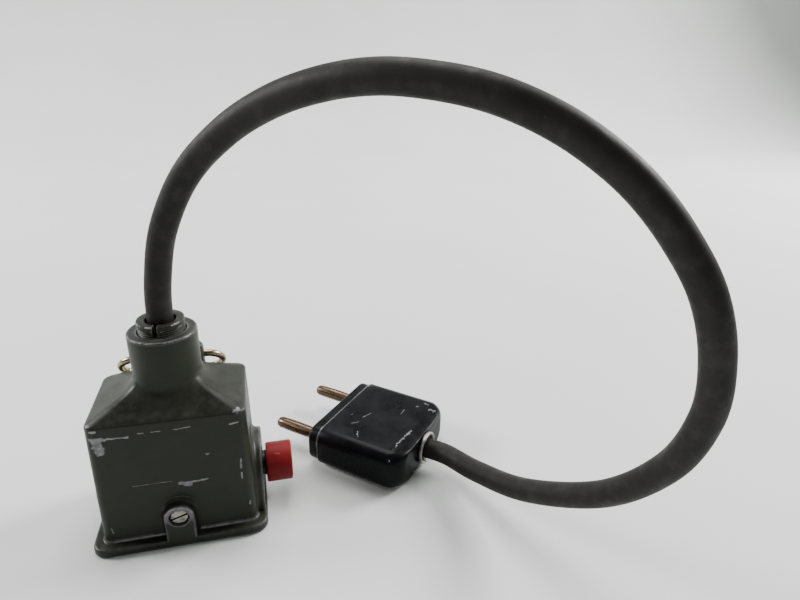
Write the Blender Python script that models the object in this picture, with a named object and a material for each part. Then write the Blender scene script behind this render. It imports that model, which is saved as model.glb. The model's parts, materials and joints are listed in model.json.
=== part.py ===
"""Push-button morse key: a small cast box with a pyramid roof and a round neck,
a sprung red button on its right side, a strap ring behind the neck, and a stiff
rubber cable that arches over to a flat two-pin plug lying on the same surface.

Units are metres, +Z is up.  The origin is the middle of the flat base.
-Y is the front face with the cover screw, +X is the button's side.
"""

from math import atan2, cos, pi, radians, sin, sqrt

import bmesh
import bpy
from mathutils import Matrix, Vector

MM = 0.001
GAP = 0.3 * MM                      # air left between pieces that touch

# ---- housing: half sizes are measured from the vertical centre line ----
FLANGE_X, FLANGE_Y = 28.2 * MM, 20.7 * MM
FLANGE_HEIGHT = 3.0 * MM
FLANGE_CORNER = 5.0 * MM
WALL_FOOT_X, WALL_FOOT_Y = 25.0 * MM, 17.5 * MM
WALL_TOP_X, WALL_TOP_Y = 24.0 * MM, 16.4 * MM
WALL_TOP_Z = 47.7 * MM
WALL_CORNER = 3.2 * MM
ROOF_APEX_Z = 59.7 * MM             # where the four roof planes would meet
NECK_RADIUS = 10.7 * MM
NECK_TOP_Z = 71.7 * MM
NECK_FILLET = 6.0 * MM
CAVITY_FOOT_X, CAVITY_FOOT_Y = 21.5 * MM, 14.0 * MM
CAVITY_TOP_X, CAVITY_TOP_Y = 20.6 * MM, 13.2 * MM
CAVITY_TOP_Z = 46.0 * MM
CAVITY_APEX_Z = 56.3 * MM
CAVITY_THROAT = 7.0 * MM            # radius under the neck
REBATE_X, REBATE_Y = 24.0 * MM, 16.5 * MM
REBATE_Z = 3.9 * MM

# ---- cable gland in the neck ----
CABLE_RADIUS = 4.0 * MM
CABLE_BORE = 4.4 * MM
GLAND_BORE = 7.7 * MM
GLAND_SEAT_Z = 60.0 * MM
NUT_RADIUS = 7.3 * MM
NUT_TOP_Z = 75.5 * MM
NUT_FOOT_Z = 65.6 * MM
NUT_SLOT_WIDTH, NUT_SLOT_DEPTH = 1.4 * MM, 3.6 * MM
NUT_SLOT_TURN = radians(-8.0)
NUT_BAND = 1.2 * MM                 # the plain band above the nut's thread
SEAL_OUTER = 7.3 * MM
SEAL_FOOT_Z, SEAL_TOP_Z = 60.3 * MM, 64.0 * MM
WASHER_FOOT_Z, WASHER_TOP_Z = 64.3 * MM, 65.3 * MM

# ---- cover screws: one in the front, left and back arch bosses ----
BOSS_RADIUS = 4.9 * MM
BOSS_SET_BACK = 0.15 * MM           # the boss faces lie just inside the flange's edge
SCREW_Z = 12.0 * MM
SCREW_RADIUS, SCREW_HEAD_RADIUS = 1.5 * MM, 2.75 * MM
SCREW_HEAD_HEIGHT = 1.9 * MM
SCREW_SINK = 0.6 * MM               # head lies this far below the boss face
SCREW_SLOT = 0.8 * MM
SCREW_HOLE, HEAD_HOLE = 1.7 * MM, 3.1 * MM
LUG_HALF_WIDTH, LUG_DEPTH, LUG_TOP_Z = 4.5 * MM, 4.6 * MM, 16.0 * MM

# ---- push button on the right side ----
BUTTON_Z = 13.6 * MM
BUTTON_PAD_RADIUS = 13.4 * MM
BUTTON_PAD_X = 27.6 * MM
BUTTON_RADIUS = 7.2 * MM
BUTTON_BACK_X, BUTTON_FACE_X = 28.9 * MM, 38.2 * MM
BUTTON_TRAVEL = 1.0 * MM
BUSH_RADIUS, BUSH_FLANGE = 4.5 * MM, 6.0 * MM
BUSH_INNER_X, BUSH_NOSE_X = 18.0 * MM, 30.6 * MM
BUSH_HOLE, BUSH_SEAT = 4.8 * MM, 6.3 * MM
BUSH_SEAT_X = 26.5 * MM
PLUNGER_RADIUS = 2.0 * MM

# ---- switch inside ----
BASE_THICKNESS = 2.4 * MM
BASE_X, BASE_Y = 23.7 * MM, 16.2 * MM
BASE_CORNER, REBATE_CORNER = 2.1 * MM, 2.4 * MM
BLOCK_BACK_X, BLOCK_FACE_X = -12.0 * MM, 8.0 * MM
BLOCK_HALF_Y, BLOCK_TOP_Z = 8.4 * MM, 19.0 * MM
SPRING_POCKET_X = 3.0 * MM
SPRING_RADIUS, SPRING_WIRE = 2.55 * MM, 0.3 * MM
SPRING_COILS = 6
CONTACT_Y = 5.5 * MM
CONTACT_HALF_WIDTH = 2.0 * MM
BLOCK_SCREW_X, TERMINAL_X = -9.5 * MM, -1.0 * MM
SMALL_SCREW, SMALL_HOLE = 1.25 * MM, 1.55 * MM
BRIDGE_X, BRIDGE_THICKNESS = 13.3 * MM, 1.0 * MM

# ---- strap ring and its lug ----
RING_AXIS_Y, RING_AXIS_Z = 13.4 * MM, 54.6 * MM
RING_CENTRE_X = -1.0 * MM
RING_WIRE = 1.25 * MM
RING_BEND = 5.5 * MM                # bend radius of the wire's centre line
RING_STRAIGHT = 11.7 * MM           # half length of the straight sides
RING_HANG = radians(-54.0)          # the ring leans on the roof's back edge
EAR_HALF_WIDTH = 10.4 * MM
EAR_TOP_Z = 60.0 * MM

# ---- plug, lying on the floor; local X runs from its pins to its cable ----
PLUG_PLACE = Vector((60.3, 30.0, 8.25)) * MM
PLUG_TURN = radians(-41.5)
PLUG_LENGTH = 41.5 * MM
PLUG_HALF_WIDTH, PLUG_HALF_HEIGHT = 23.0 * MM, 8.25 * MM
PLUG_EDGE, PLUG_CORNER = 5.0 * MM, 7.2 * MM
PLUG_DROP = 1.6 * MM                # how far the cable end slopes in
PLUG_WALL = 2.2 * MM
PLUG_BORE = 5.0 * MM
FACE_THICKNESS = 4.5 * MM
PIN_SPACING = 29.0 * MM
PIN_LENGTH, PIN_RADIUS = 20.5 * MM, 2.5 * MM
PIN_TAIL_RADIUS, PIN_TAIL = 1.5 * MM, 12.0 * MM
FERRULE_OUTER, FERRULE_INNER = 6.6 * MM, 5.4 * MM
FERRULE_LENGTH = 2.0 * MM

# ---- the cable's route in millimetres, from inside the neck to the plug ----
CABLE_ROUTE = [
    (0, 0, 58), (0, 0, 76), (1.2, -0.5, 89), (5, -2, 105), (13.5, -7.5, 121.5),
    (25, -16, 134), (37, -27, 142.5), (49, -38, 147.5), (60, -47, 149.5),
    (71, -54.5, 149), (81, -61, 147), (91, -66.5, 143), (100, -71.5, 137.5),
    (109, -76, 130), (117.5, -80, 120), (125, -83.5, 108), (130.5, -85, 93),
    (133.5, -84, 75.5), (132.5, -77.5, 55.5), (126, -63, 35), (115, -39.5, 18),
    (106, -18.5, 10.3), (98.9, -4.8, 8.5), (92.9, 1.2, 8.25),
    (88.4, 5.2, 8.25),
]
CABLE_STEP = 16.0 * MM              # distance between the tube's points

ROUND = 32                          # sides of large round pieces
SMALL_ROUND = 20


# ------------------------------------------------------------------ materials
def material(name, colour, roughness, metallic=0.0):
    made = bpy.data.materials.new(name)
    made.use_nodes = True
    shader = made.node_tree.nodes["Principled BSDF"]
    shader.inputs["Base Color"].default_value = (*colour, 1.0)
    shader.inputs["Roughness"].default_value = roughness
    shader.inputs["Metallic"].default_value = metallic
    made.diffuse_color = (*colour, 1.0)
    return made


def make_materials():
    return {
        "olive_paint": material("olive_paint", (0.055, 0.058, 0.043), 0.55),
        "steel": material("steel", (0.45, 0.44, 0.42), 0.35, 1.0),
        "zinc_wire": material("zinc_wire", (0.62, 0.55, 0.36), 0.3, 1.0),
        "brass": material("brass", (0.52, 0.34, 0.14), 0.35, 1.0),
        "black_paint": material("black_paint", (0.01, 0.01, 0.012), 0.4),
        "red_plastic": material("red_plastic", (0.33, 0.012, 0.012), 0.35),
        "black_plastic": material("black_plastic", (0.012, 0.012, 0.014), 0.35),
        "bakelite": material("bakelite", (0.05, 0.022, 0.012), 0.4),
        "rubber": material("rubber", (0.03, 0.028, 0.026), 0.7),
        "wire_red": material("wire_red", (0.3, 0.02, 0.02), 0.5),
        "wire_grey": material("wire_grey", (0.25, 0.25, 0.25), 0.5),
    }


# ------------------------------------------------------------------ mesh tools
def add_object(name, bm, finish, parent=None):
    """Turn a bmesh into a smooth-shaded object with outward faces."""
    bmesh.ops.remove_doubles(bm, verts=bm.verts, dist=0.001 * MM)
    bmesh.ops.recalc_face_normals(bm, faces=bm.faces)
    mesh = bpy.data.meshes.new(name)
    bm.to_mesh(mesh)
    bm.free()
    mesh.shade_smooth()
    mesh.set_sharp_from_angle(angle=radians(32.0))
    mesh.materials.append(finish)
    made = bpy.data.objects.new(name, mesh)
    bpy.context.scene.collection.objects.link(made)
    made.parent = parent
    return made


def loft(rings, closed=False):
    """Skin equal rings of points.  Open lofts get flat ends."""
    bm = bmesh.new()
    rows = [[bm.verts.new(point) for point in ring] for ring in rings]
    pairs = list(zip(rows, rows[1:]))
    if closed:
        pairs.append((rows[-1], rows[0]))
    for lower, upper in pairs:
        for i in range(len(lower)):
            j = (i + 1) % len(lower)
            bm.faces.new((lower[i], lower[j], upper[j], upper[i]))
    if not closed:
        bm.faces.new(rows[0])
        bm.faces.new(list(reversed(rows[-1])))
    return bm


def turned(profile, axis="Z", sides=SMALL_ROUND, centre=(0, 0, 0), closed=False):
    """Revolve (radius, position) pairs about an axis through centre."""
    rings = []
    for radius, along in profile:
        ring = []
        for i in range(sides):
            angle = 2 * pi * i / sides
            u, v = radius * cos(angle), radius * sin(angle)
            local = {"X": (along, u, v), "Y": (v, along, u), "Z": (u, v, along)}[axis]
            ring.append(Vector(centre) + Vector(local))
        rings.append(ring)
    return loft(rings, closed)


def block(low, high):
    """A box between two opposite corners."""
    bm = bmesh.new()
    bmesh.ops.create_cube(bm, size=1.0)
    middle = (Vector(low) + Vector(high)) / 2
    size = Vector(high) - Vector(low)
    bmesh.ops.scale(bm, vec=size, verts=bm.verts)
    bmesh.ops.translate(bm, vec=middle, verts=bm.verts)
    return bm


def hexagon(across_flats, start, end, centre, hole, axis="X"):
    """A hexagonal nut with a plain hole along X or Z."""
    outer = across_flats / 2 / cos(radians(30.0))
    sides = 24
    rings = []
    for radius_of, along in (
        (lambda a: hole, start),
        (lambda a: outer * cos(radians(30)) / cos((a % radians(60)) - radians(30)), start),
        (lambda a: outer * cos(radians(30)) / cos((a % radians(60)) - radians(30)), end),
        (lambda a: hole, end),
    ):
        ring = []
        for i in range(sides):
            angle = 2 * pi * i / sides
            u, v = radius_of(angle) * cos(angle), radius_of(angle) * sin(angle)
            local = (along, u, v) if axis == "X" else (u, v, along)
            ring.append(Vector(centre) + Vector(local))
        rings.append(ring)
    return loft(rings, closed=True)


def combine(target, tool_bm, operation):
    """Apply an exact Boolean to target with a bmesh, and drop the tool."""
    tool = add_object("tool", tool_bm, target.data.materials[0])
    tool.matrix_world = target.matrix_world
    modifier = target.modifiers.new(operation.lower(), "BOOLEAN")
    modifier.operation = operation
    modifier.solver = "EXACT"
    modifier.object = tool
    bpy.context.view_layer.update()
    graph = bpy.context.evaluated_depsgraph_get()
    result = bpy.data.meshes.new_from_object(target.evaluated_get(graph))
    target.modifiers.clear()
    target.data = result
    bpy.data.objects.remove(tool)
    target.data.shade_smooth()
    target.data.set_sharp_from_angle(angle=radians(32.0))


def round_wire(name, points, radius, finish, cyclic=False, resolution=2, parent=None):
    """A round bar along points, as a curve with filled ends."""
    curve = bpy.data.curves.new(name, "CURVE")
    curve.dimensions = "3D"
    curve.bevel_depth = radius
    curve.bevel_resolution = resolution
    curve.use_fill_caps = not cyclic
    spline = curve.splines.new("POLY")
    spline.points.add(len(points) - 1)
    for knot, point in zip(spline.points, points):
        knot.co = (*point, 1.0)
    spline.use_cyclic_u = cyclic
    curve.materials.append(finish)
    made = bpy.data.objects.new(name, curve)
    bpy.context.scene.collection.objects.link(made)
    made.parent = parent
    return made


def smooth_route(route, step):
    """Points about a step apart on a Catmull-Rom curve through the route."""
    knots = [Vector(p) for p in route]
    knots = [2 * knots[0] - knots[1], *knots, 2 * knots[-1] - knots[-2]]
    fine = []
    for a, b, c, d in zip(knots, knots[1:], knots[2:], knots[3:]):
        for k in range(20):
            t = k / 20
            fine.append(0.5 * (2 * b + (c - a) * t + (2 * a - 5 * b + 4 * c - d) * t ** 2
                               + (3 * b - a - 3 * c + d) * t ** 3))
    fine.append(knots[-2])
    lengths = [0.0]
    for a, b in zip(fine, fine[1:]):
        lengths.append(lengths[-1] + (b - a).length)
    count = max(2, round(lengths[-1] / step))
    points = []
    for k in range(count + 1):
        wanted = lengths[-1] * k / count
        i = next((i for i, s in enumerate(lengths) if s >= wanted - 1e-12), len(fine) - 1)
        i = max(i, 1)
        part = (wanted - lengths[i - 1]) / max(lengths[i] - lengths[i - 1], 1e-12)
        points.append(fine[i - 1].lerp(fine[i], min(part, 1.0)))
    return points


def empty(name, place, rotation=(0, 0, 0)):
    made = bpy.data.objects.new(name, None)
    made.empty_display_size = 5 * MM
    made.location = place
    made.rotation_euler = rotation
    bpy.context.scene.collection.objects.link(made)
    bpy.context.view_layer.update()
    return made


# ------------------------------------------------------- rounded-box sections
def box_radius(angle, half_x, half_y, corner):
    """Distance from the centre to a rounded rectangle, in one direction."""
    c, s = abs(cos(angle)), abs(sin(angle))
    if c * half_y <= s * (half_x - corner):
        return half_y / s
    if s * half_x <= c * (half_y - corner):
        return half_x / c
    a, b = half_x - corner, half_y - corner
    along = a * c + b * s
    return along + sqrt(max(along ** 2 - (a * a + b * b - corner * corner), 0.0))


def box_angles(half_x, half_y, corner, long_steps, short_steps, corner_steps):
    """Directions that follow a rounded rectangle's sides and corners."""
    quarter = []
    for k in range(corner_steps + 1):
        turn = pi / 2 * k / corner_steps
        quarter.append(atan2(half_y - corner + corner * sin(turn),
                             half_x - corner + corner * cos(turn)))
    angles = []
    for k in range(short_steps):
        angles.append(-quarter[0] + 2 * quarter[0] * k / short_steps)
    angles += quarter[:-1]
    for k in range(long_steps):
        angles.append(quarter[-1] + (pi - 2 * quarter[-1]) * k / long_steps)
    angles += [pi - a for a in reversed(quarter)][:-1]
    return angles + other_half(quarter, short_steps, long_steps)


def other_half(quarter, short_steps, long_steps):
    """The other half of the turn: the left, lower-left, front and right corners."""
    rest = []
    for k in range(short_steps):
        rest.append(pi - quarter[0] + 2 * quarter[0] * k / short_steps)
    rest += [pi + a for a in quarter][:-1]
    for k in range(long_steps):
        rest.append(pi + quarter[-1] + (pi - 2 * quarter[-1]) * k / long_steps)
    rest += [2 * pi - a for a in reversed(quarter)][:-1]
    return rest


def larger_blend(a, b, width):
    """The larger of two radii, rounded off where they are nearly equal."""
    share = max(width - abs(a - b), 0.0) / width
    return max(a, b) + share * share * width / 4


def radial_ring(angles, height, radius_at):
    return [Vector((radius_at(a) * cos(a), radius_at(a) * sin(a), height)) for a in angles]


# -------------------------------------------------------------------- housing
def wall_radius(angle, height, inset=0.0):
    share = height / WALL_TOP_Z
    half_x = WALL_FOOT_X + (WALL_TOP_X - WALL_FOOT_X) * share - inset
    half_y = WALL_FOOT_Y + (WALL_TOP_Y - WALL_FOOT_Y) * share - inset
    return box_radius(angle, half_x, half_y, WALL_CORNER - inset)


def roof_radius(angle, height):
    share = max(ROOF_APEX_Z - height, 0.0) / (ROOF_APEX_Z - WALL_TOP_Z)
    roof = wall_radius(angle, WALL_TOP_Z) * share
    return larger_blend(roof, NECK_RADIUS, NECK_FILLET)


def cavity_radius(angle, height):
    if height > CAVITY_TOP_Z:
        share = max(CAVITY_APEX_Z - height, 0.0) / (CAVITY_APEX_Z - CAVITY_TOP_Z)
        roof = box_radius(angle, CAVITY_TOP_X, CAVITY_TOP_Y, 2 * MM) * share
        return larger_blend(roof, CAVITY_THROAT, 1.5 * MM)
    share = height / CAVITY_TOP_Z
    half_x = CAVITY_FOOT_X + (CAVITY_TOP_X - CAVITY_FOOT_X) * share
    half_y = CAVITY_FOOT_Y + (CAVITY_TOP_Y - CAVITY_FOOT_Y) * share
    return box_radius(angle, half_x, half_y, 2 * MM)


def housing_rings():
    """One closed skin: up the outside, into the neck, and down the inside."""
    angles = box_angles(WALL_TOP_X, WALL_TOP_Y, WALL_CORNER, 9, 7, 3)
    rings = []

    def add(height, radius_at):
        rings.append(radial_ring(angles, height, radius_at))

    def flange(inset):
        return lambda a: box_radius(a, FLANGE_X - inset, FLANGE_Y - inset, FLANGE_CORNER - inset)

    add(0.0, flange(0.5 * MM))
    add(0.5 * MM, flange(0.0))
    add(FLANGE_HEIGHT - 0.8 * MM, flange(0.0))
    add(FLANGE_HEIGHT, flange(0.8 * MM))
    add(FLANGE_HEIGHT + 0.1 * MM, lambda a: wall_radius(a, 0.0, -0.8 * MM))
    add(FLANGE_HEIGHT + 1.0 * MM, lambda a: wall_radius(a, FLANGE_HEIGHT))
    add(WALL_TOP_Z - 1.2 * MM, lambda a: wall_radius(a, WALL_TOP_Z - 1.2 * MM))
    add(WALL_TOP_Z - 0.2 * MM, lambda a: wall_radius(a, WALL_TOP_Z, 0.25 * MM))
    for k in range(10):
        height = WALL_TOP_Z + (0.5 + 1.35 * k) * MM
        add(height, lambda a, h=height: roof_radius(a, h))
    add(NECK_TOP_Z - 0.6 * MM, lambda a: NECK_RADIUS - 0.1 * MM)
    add(NECK_TOP_Z, lambda a: NECK_RADIUS - 0.7 * MM)
    add(NECK_TOP_Z, lambda a: GLAND_BORE + 0.5 * MM)
    add(NECK_TOP_Z - 0.5 * MM, lambda a: GLAND_BORE)
    add(GLAND_SEAT_Z, lambda a: GLAND_BORE)
    add(GLAND_SEAT_Z, lambda a: CABLE_BORE)
    add(CAVITY_APEX_Z + 0.7 * MM, lambda a: CABLE_BORE)
    add(CAVITY_APEX_Z, lambda a: CAVITY_THROAT)
    for k in range(6):
        height = CAVITY_APEX_Z - 2 * MM - k * (CAVITY_APEX_Z - CAVITY_TOP_Z - 2 * MM) / 5
        add(height, lambda a, h=height: cavity_radius(a, h))
    add(REBATE_Z, lambda a: cavity_radius(a, REBATE_Z))
    add(REBATE_Z, lambda a: box_radius(a, REBATE_X, REBATE_Y, REBATE_CORNER))
    add(0.0, lambda a: box_radius(a, REBATE_X, REBATE_Y, REBATE_CORNER))
    return rings


def arch_outline(radius, centre_height, foot_height, steps=12):
    """An upright arch: straight sides under a half circle, as (across, up)."""
    points = [(-radius, foot_height), (radius, foot_height)]
    for k in range(steps + 1):
        turn = pi * k / steps
        points.append((radius * cos(turn), centre_height + radius * sin(turn)))
    return points


def arch_block(radius, centre_height, inner, outer, side):
    """An arch boss that stands out towards -Y, -X, +Y or +X."""
    outline = arch_outline(radius, centre_height, 0.4 * MM)
    turn = {"front": 0.0, "right": pi / 2, "back": pi, "left": -pi / 2}[side]
    spin = Matrix.Rotation(turn, 3, "Z")
    edge = 0.4 * MM
    rings = []
    for distance, shrink in ((inner, 0.0), (outer - edge, 0.0), (outer, edge)):
        keep = 1 - shrink / radius
        rings.append([spin @ Vector((u * keep, -distance,
                                     centre_height + (v - centre_height) * keep))
                      for u, v in outline])
    return loft(rings)


def ear_rings():
    """The strap ring's ear behind the neck, lofted along X with rounded ends."""
    rings = []
    half = EAR_HALF_WIDTH
    middle, shoulder = half - 3.0 * MM, half - 1.0 * MM
    for across, drop in ((-half, 3.6), (-shoulder, 1.3), (-middle, 0.0),
                         (middle, 0.0), (shoulder, 1.3), (half, 3.6)):
        top = EAR_TOP_Z - drop * MM
        rings.append([Vector((across, y * MM, z)) for y, z in (
            (8.6, 51.5 * MM), (16.0, 46.8 * MM), (16.1, 54.6 * MM),
            (15.6, min(56.4 * MM, top - 0.6 * MM)), (14.0, min(58.2 * MM, top - 0.2 * MM)),
            (11.6, top), (8.6, top))])
    return rings


def make_housing(mats):
    bm = loft(housing_rings(), closed=True)
    housing = add_object("housing", bm, mats["olive_paint"])
    root_x, root_y = REBATE_X + 0.2 * MM, REBATE_Y + 0.3 * MM
    for side, reach, root in (("front", FLANGE_Y, root_y), ("back", FLANGE_Y, root_y),
                              ("left", FLANGE_X, root_x)):
        boss = arch_block(BOSS_RADIUS, SCREW_Z, root, reach - BOSS_SET_BACK, side)
        combine(housing, boss, "UNION")
    pad = arch_block(BUTTON_PAD_RADIUS, BUTTON_Z, root_x, BUTTON_PAD_X, "right")
    combine(housing, pad, "UNION")
    combine(housing, loft(ear_rings()), "UNION")
    for axis, sign, face in (("Y", -1, FLANGE_Y), ("Y", 1, FLANGE_Y), ("X", -1, FLANGE_X)):
        deep = face - BOSS_SET_BACK - SCREW_SINK - SCREW_HEAD_HEIGHT - GAP
        drill = turned([(SCREW_HOLE, sign * 10 * MM), (SCREW_HOLE, sign * deep),
                        (HEAD_HOLE, sign * deep), (HEAD_HOLE, sign * (face + 2 * MM))],
                       axis, SMALL_ROUND, (0, 0, SCREW_Z))
        combine(housing, drill, "DIFFERENCE")
    bush_hole = turned([(BUSH_HOLE, 15 * MM), (BUSH_HOLE, BUSH_SEAT_X),
                        (BUSH_SEAT, BUSH_SEAT_X), (BUSH_SEAT, 30 * MM)],
                       "X", ROUND, (0, 0, BUTTON_Z))
    combine(housing, bush_hole, "DIFFERENCE")
    ring_hole = turned([(RING_WIRE + GAP, -12 * MM), (RING_WIRE + GAP, 12 * MM)],
                       "X", 16, (0, RING_AXIS_Y, RING_AXIS_Z))
    combine(housing, ring_hole, "DIFFERENCE")
    return housing


# ------------------------------------------------------------- base and cover
def rounded_plate(half_x, half_y, corner, low, high, hole=None):
    """A flat plate with rounded corners; hole gives its inner half sizes."""
    angles = box_angles(half_x, half_y, corner, 6, 4, 3)
    if hole is None:
        return loft([radial_ring(angles, h, lambda a: box_radius(a, half_x, half_y, corner))
                     for h in (low, high)])
    rings = []
    for h, (x, y, r) in ((low, hole), (low, (half_x, half_y, corner)),
                         (high, (half_x, half_y, corner)), (high, hole)):
        rings.append(radial_ring(angles, h, lambda a: box_radius(a, x, y, r)))
    return loft(rings, closed=True)


def make_base(mats):
    plate = rounded_plate(BASE_X, BASE_Y, BASE_CORNER, 0.0, BASE_THICKNESS)
    base = add_object("base_plate", plate, mats["olive_paint"])
    inner_x, inner_y = CAVITY_FOOT_X - 0.6 * MM, CAVITY_FOOT_Y - 0.6 * MM
    for low, high in (
        ((-LUG_HALF_WIDTH, -inner_y, 1 * MM), (LUG_HALF_WIDTH, LUG_DEPTH - inner_y, LUG_TOP_Z)),
        ((-LUG_HALF_WIDTH, inner_y - LUG_DEPTH, 1 * MM), (LUG_HALF_WIDTH, inner_y, LUG_TOP_Z)),
        ((-inner_x, -LUG_HALF_WIDTH, 1 * MM), (LUG_DEPTH - inner_x, LUG_HALF_WIDTH, LUG_TOP_Z)),
    ):
        combine(base, block(low, high), "UNION")
    for axis, sign in (("Y", -1), ("Y", 1), ("X", -1)):
        reach = 24 * MM
        tapped = turned([(SCREW_RADIUS + GAP, sign * 7 * MM), (SCREW_RADIUS + GAP, sign * reach)],
                        axis, SMALL_ROUND, (0, 0, SCREW_Z))
        combine(base, tapped, "DIFFERENCE")
    for side in (-1, 1):
        blind = turned([(SMALL_HOLE, 0.6 * MM), (SMALL_HOLE, 4 * MM)], "Z", SMALL_ROUND,
                       (BLOCK_SCREW_X, side * CONTACT_Y, 0))
        combine(base, blind, "DIFFERENCE")
    inner = (CAVITY_FOOT_X + GAP, CAVITY_FOOT_Y + GAP, 1.6 * MM)
    low, high = BASE_THICKNESS + GAP, REBATE_Z - GAP
    add_object("base_gasket", rounded_plate(BASE_X, BASE_Y, BASE_CORNER, low, high, inner),
               mats["rubber"])


def slotted_screw(name, mats, axis, sign, head_out, tip, centre, radius, head_radius, head):
    """A cheese-head screw whose head faces out along sign times axis."""
    profile = [(radius, sign * tip), (radius, sign * (head_out - head)),
               (head_radius, sign * (head_out - head)), (head_radius, sign * (head_out - 0.3 * MM)),
               (head_radius - 0.3 * MM, sign * head_out)]
    screw = add_object(name, turned(profile, axis, SMALL_ROUND, centre), mats["steel"])
    reach = 3 * head_radius
    half = SCREW_SLOT / 2
    near, far = sign * (head_out - 0.9 * MM), sign * (head_out + 1 * MM)
    low_along, high_along = min(near, far), max(near, far)
    spans = {"X": ((low_along, -reach, -half), (high_along, reach, half)),
             "Y": ((-reach, low_along, -half), (reach, high_along, half)),
             "Z": ((-reach, -half, low_along), (reach, half, high_along))}[axis]
    slot = block(Vector(spans[0]) + Vector(centre), Vector(spans[1]) + Vector(centre))
    combine(screw, slot, "DIFFERENCE")


def make_cover_screws(mats):
    for name, axis, sign, face, tip in (
        ("cover_screw_front", "Y", -1, FLANGE_Y, 9.6 * MM),
        ("cover_screw_back", "Y", 1, FLANGE_Y, 9.6 * MM),
        ("cover_screw_left", "X", -1, FLANGE_X, 17.2 * MM),
    ):
        head_out = face - BOSS_SET_BACK - SCREW_SINK
        slotted_screw(name, mats, axis, sign, head_out, tip, (0, 0, SCREW_Z),
                      SCREW_RADIUS, SCREW_HEAD_RADIUS, SCREW_HEAD_HEIGHT)


# ---------------------------------------------------------------------- gland
def make_gland(mats):
    seal = [(CABLE_BORE, SEAL_FOOT_Z), (SEAL_OUTER, SEAL_FOOT_Z),
            (SEAL_OUTER, SEAL_TOP_Z), (CABLE_BORE, SEAL_TOP_Z)]
    add_object("gland_seal", turned(seal, "Z", ROUND, closed=True), mats["rubber"])
    washer = [(CABLE_BORE, WASHER_FOOT_Z), (SEAL_OUTER, WASHER_FOOT_Z),
              (SEAL_OUTER, WASHER_TOP_Z), (CABLE_BORE, WASHER_TOP_Z)]
    add_object("gland_washer", turned(washer, "Z", ROUND, closed=True), mats["steel"])
    thread, band_foot = NUT_RADIUS - 0.3 * MM, NUT_TOP_Z - NUT_BAND
    profile = [(4.6 * MM, NUT_FOOT_Z), (thread, NUT_FOOT_Z),
               (thread, band_foot), (NUT_RADIUS, band_foot + 0.2 * MM),
               (NUT_RADIUS, NUT_TOP_Z - 0.3 * MM), (NUT_RADIUS - 0.4 * MM, NUT_TOP_Z),
               (5.2 * MM, NUT_TOP_Z), (4.6 * MM, NUT_TOP_Z - 0.6 * MM)]
    nut = add_object("gland_nut", turned(profile, "Z", ROUND, closed=True), mats["olive_paint"])
    half = NUT_SLOT_WIDTH / 2
    slot = block((-half, -12 * MM, NUT_TOP_Z - NUT_SLOT_DEPTH), (half, 12 * MM, NUT_TOP_Z + 2 * MM))
    bmesh.ops.rotate(slot, cent=(0, 0, 0), matrix=Matrix.Rotation(NUT_SLOT_TURN, 3, "Z"),
                     verts=slot.verts)
    combine(nut, slot, "DIFFERENCE")


# ----------------------------------------------------------------- strap ring
def make_strap_ring(mats):
    """A flattened wire loop; its first straight side turns in the ear."""
    hinge = empty("ring_hinge", (RING_CENTRE_X, RING_AXIS_Y, RING_AXIS_Z), (RING_HANG, 0, 0))
    points = []
    for side in (1, -1):
        for k in range(9):
            turn = -pi / 2 + pi * k / 8
            points.append((side * (RING_STRAIGHT + RING_BEND * cos(turn)),
                           RING_BEND + side * RING_BEND * sin(turn), 0.0))
        for k in (1, 2):
            along = side * RING_STRAIGHT * (1 - 2 * k / 3)
            points.append((along, RING_BEND + side * RING_BEND, 0.0))
    round_wire("strap_ring", points, RING_WIRE, mats["zinc_wire"], cyclic=True, parent=hinge)


# --------------------------------------------------------------- push button
def make_button(mats):
    """Everything that slides in together, built about the slide's axis."""
    axis = empty("button_slide", (0, 0, BUTTON_Z))
    cap = [(1.8 * MM, 36.0 * MM), (1.8 * MM, 32.5 * MM), (5.2 * MM, 32.5 * MM),
           (5.2 * MM, BUTTON_BACK_X), (BUTTON_RADIUS - 0.5 * MM, BUTTON_BACK_X),
           (BUTTON_RADIUS, BUTTON_BACK_X + 0.5 * MM), (BUTTON_RADIUS, BUTTON_FACE_X - 0.7 * MM),
           (BUTTON_RADIUS - 0.7 * MM, BUTTON_FACE_X)]
    add_object("push_button", turned(cap, "X", ROUND), mats["red_plastic"], axis)

    groove, thin = 1.5 * MM, 1.2 * MM
    rod = [(thin, 9.5 * MM), (thin, 14.6 * MM), (PLUNGER_RADIUS, 14.6 * MM),
           (PLUNGER_RADIUS, 16.5 * MM), (groove, 16.5 * MM), (groove, 17.7 * MM),
           (PLUNGER_RADIUS, 17.7 * MM), (PLUNGER_RADIUS, 32.2 * MM), (1.5 * MM, 32.2 * MM),
           (1.5 * MM, 35.7 * MM)]
    add_object("plunger", turned(rod, "X"), mats["steel"], axis)
    clip = [(1.8 * MM, 16.8 * MM), (3.8 * MM, 16.8 * MM), (3.8 * MM, 17.4 * MM), (1.8 * MM, 17.4 * MM)]
    add_object("plunger_clip", turned(clip, "X", closed=True), mats["steel"], axis)

    bridge = add_object("contact_bridge",
                        block((BRIDGE_X, -7.3 * MM, -2 * MM),
                              (BRIDGE_X + BRIDGE_THICKNESS, 7.3 * MM, 2 * MM)), mats["brass"], axis)
    bpy.context.view_layer.update()
    hole = turned([(1.5 * MM, BRIDGE_X - 1 * MM), (1.5 * MM, BRIDGE_X + 2 * MM)], "X")
    combine(bridge, hole, "DIFFERENCE")
    add_object("bridge_nut", hexagon(5 * MM, 11.4 * MM, 13.0 * MM, (0, 0, 0), 1.5 * MM),
               mats["brass"], axis)


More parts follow.
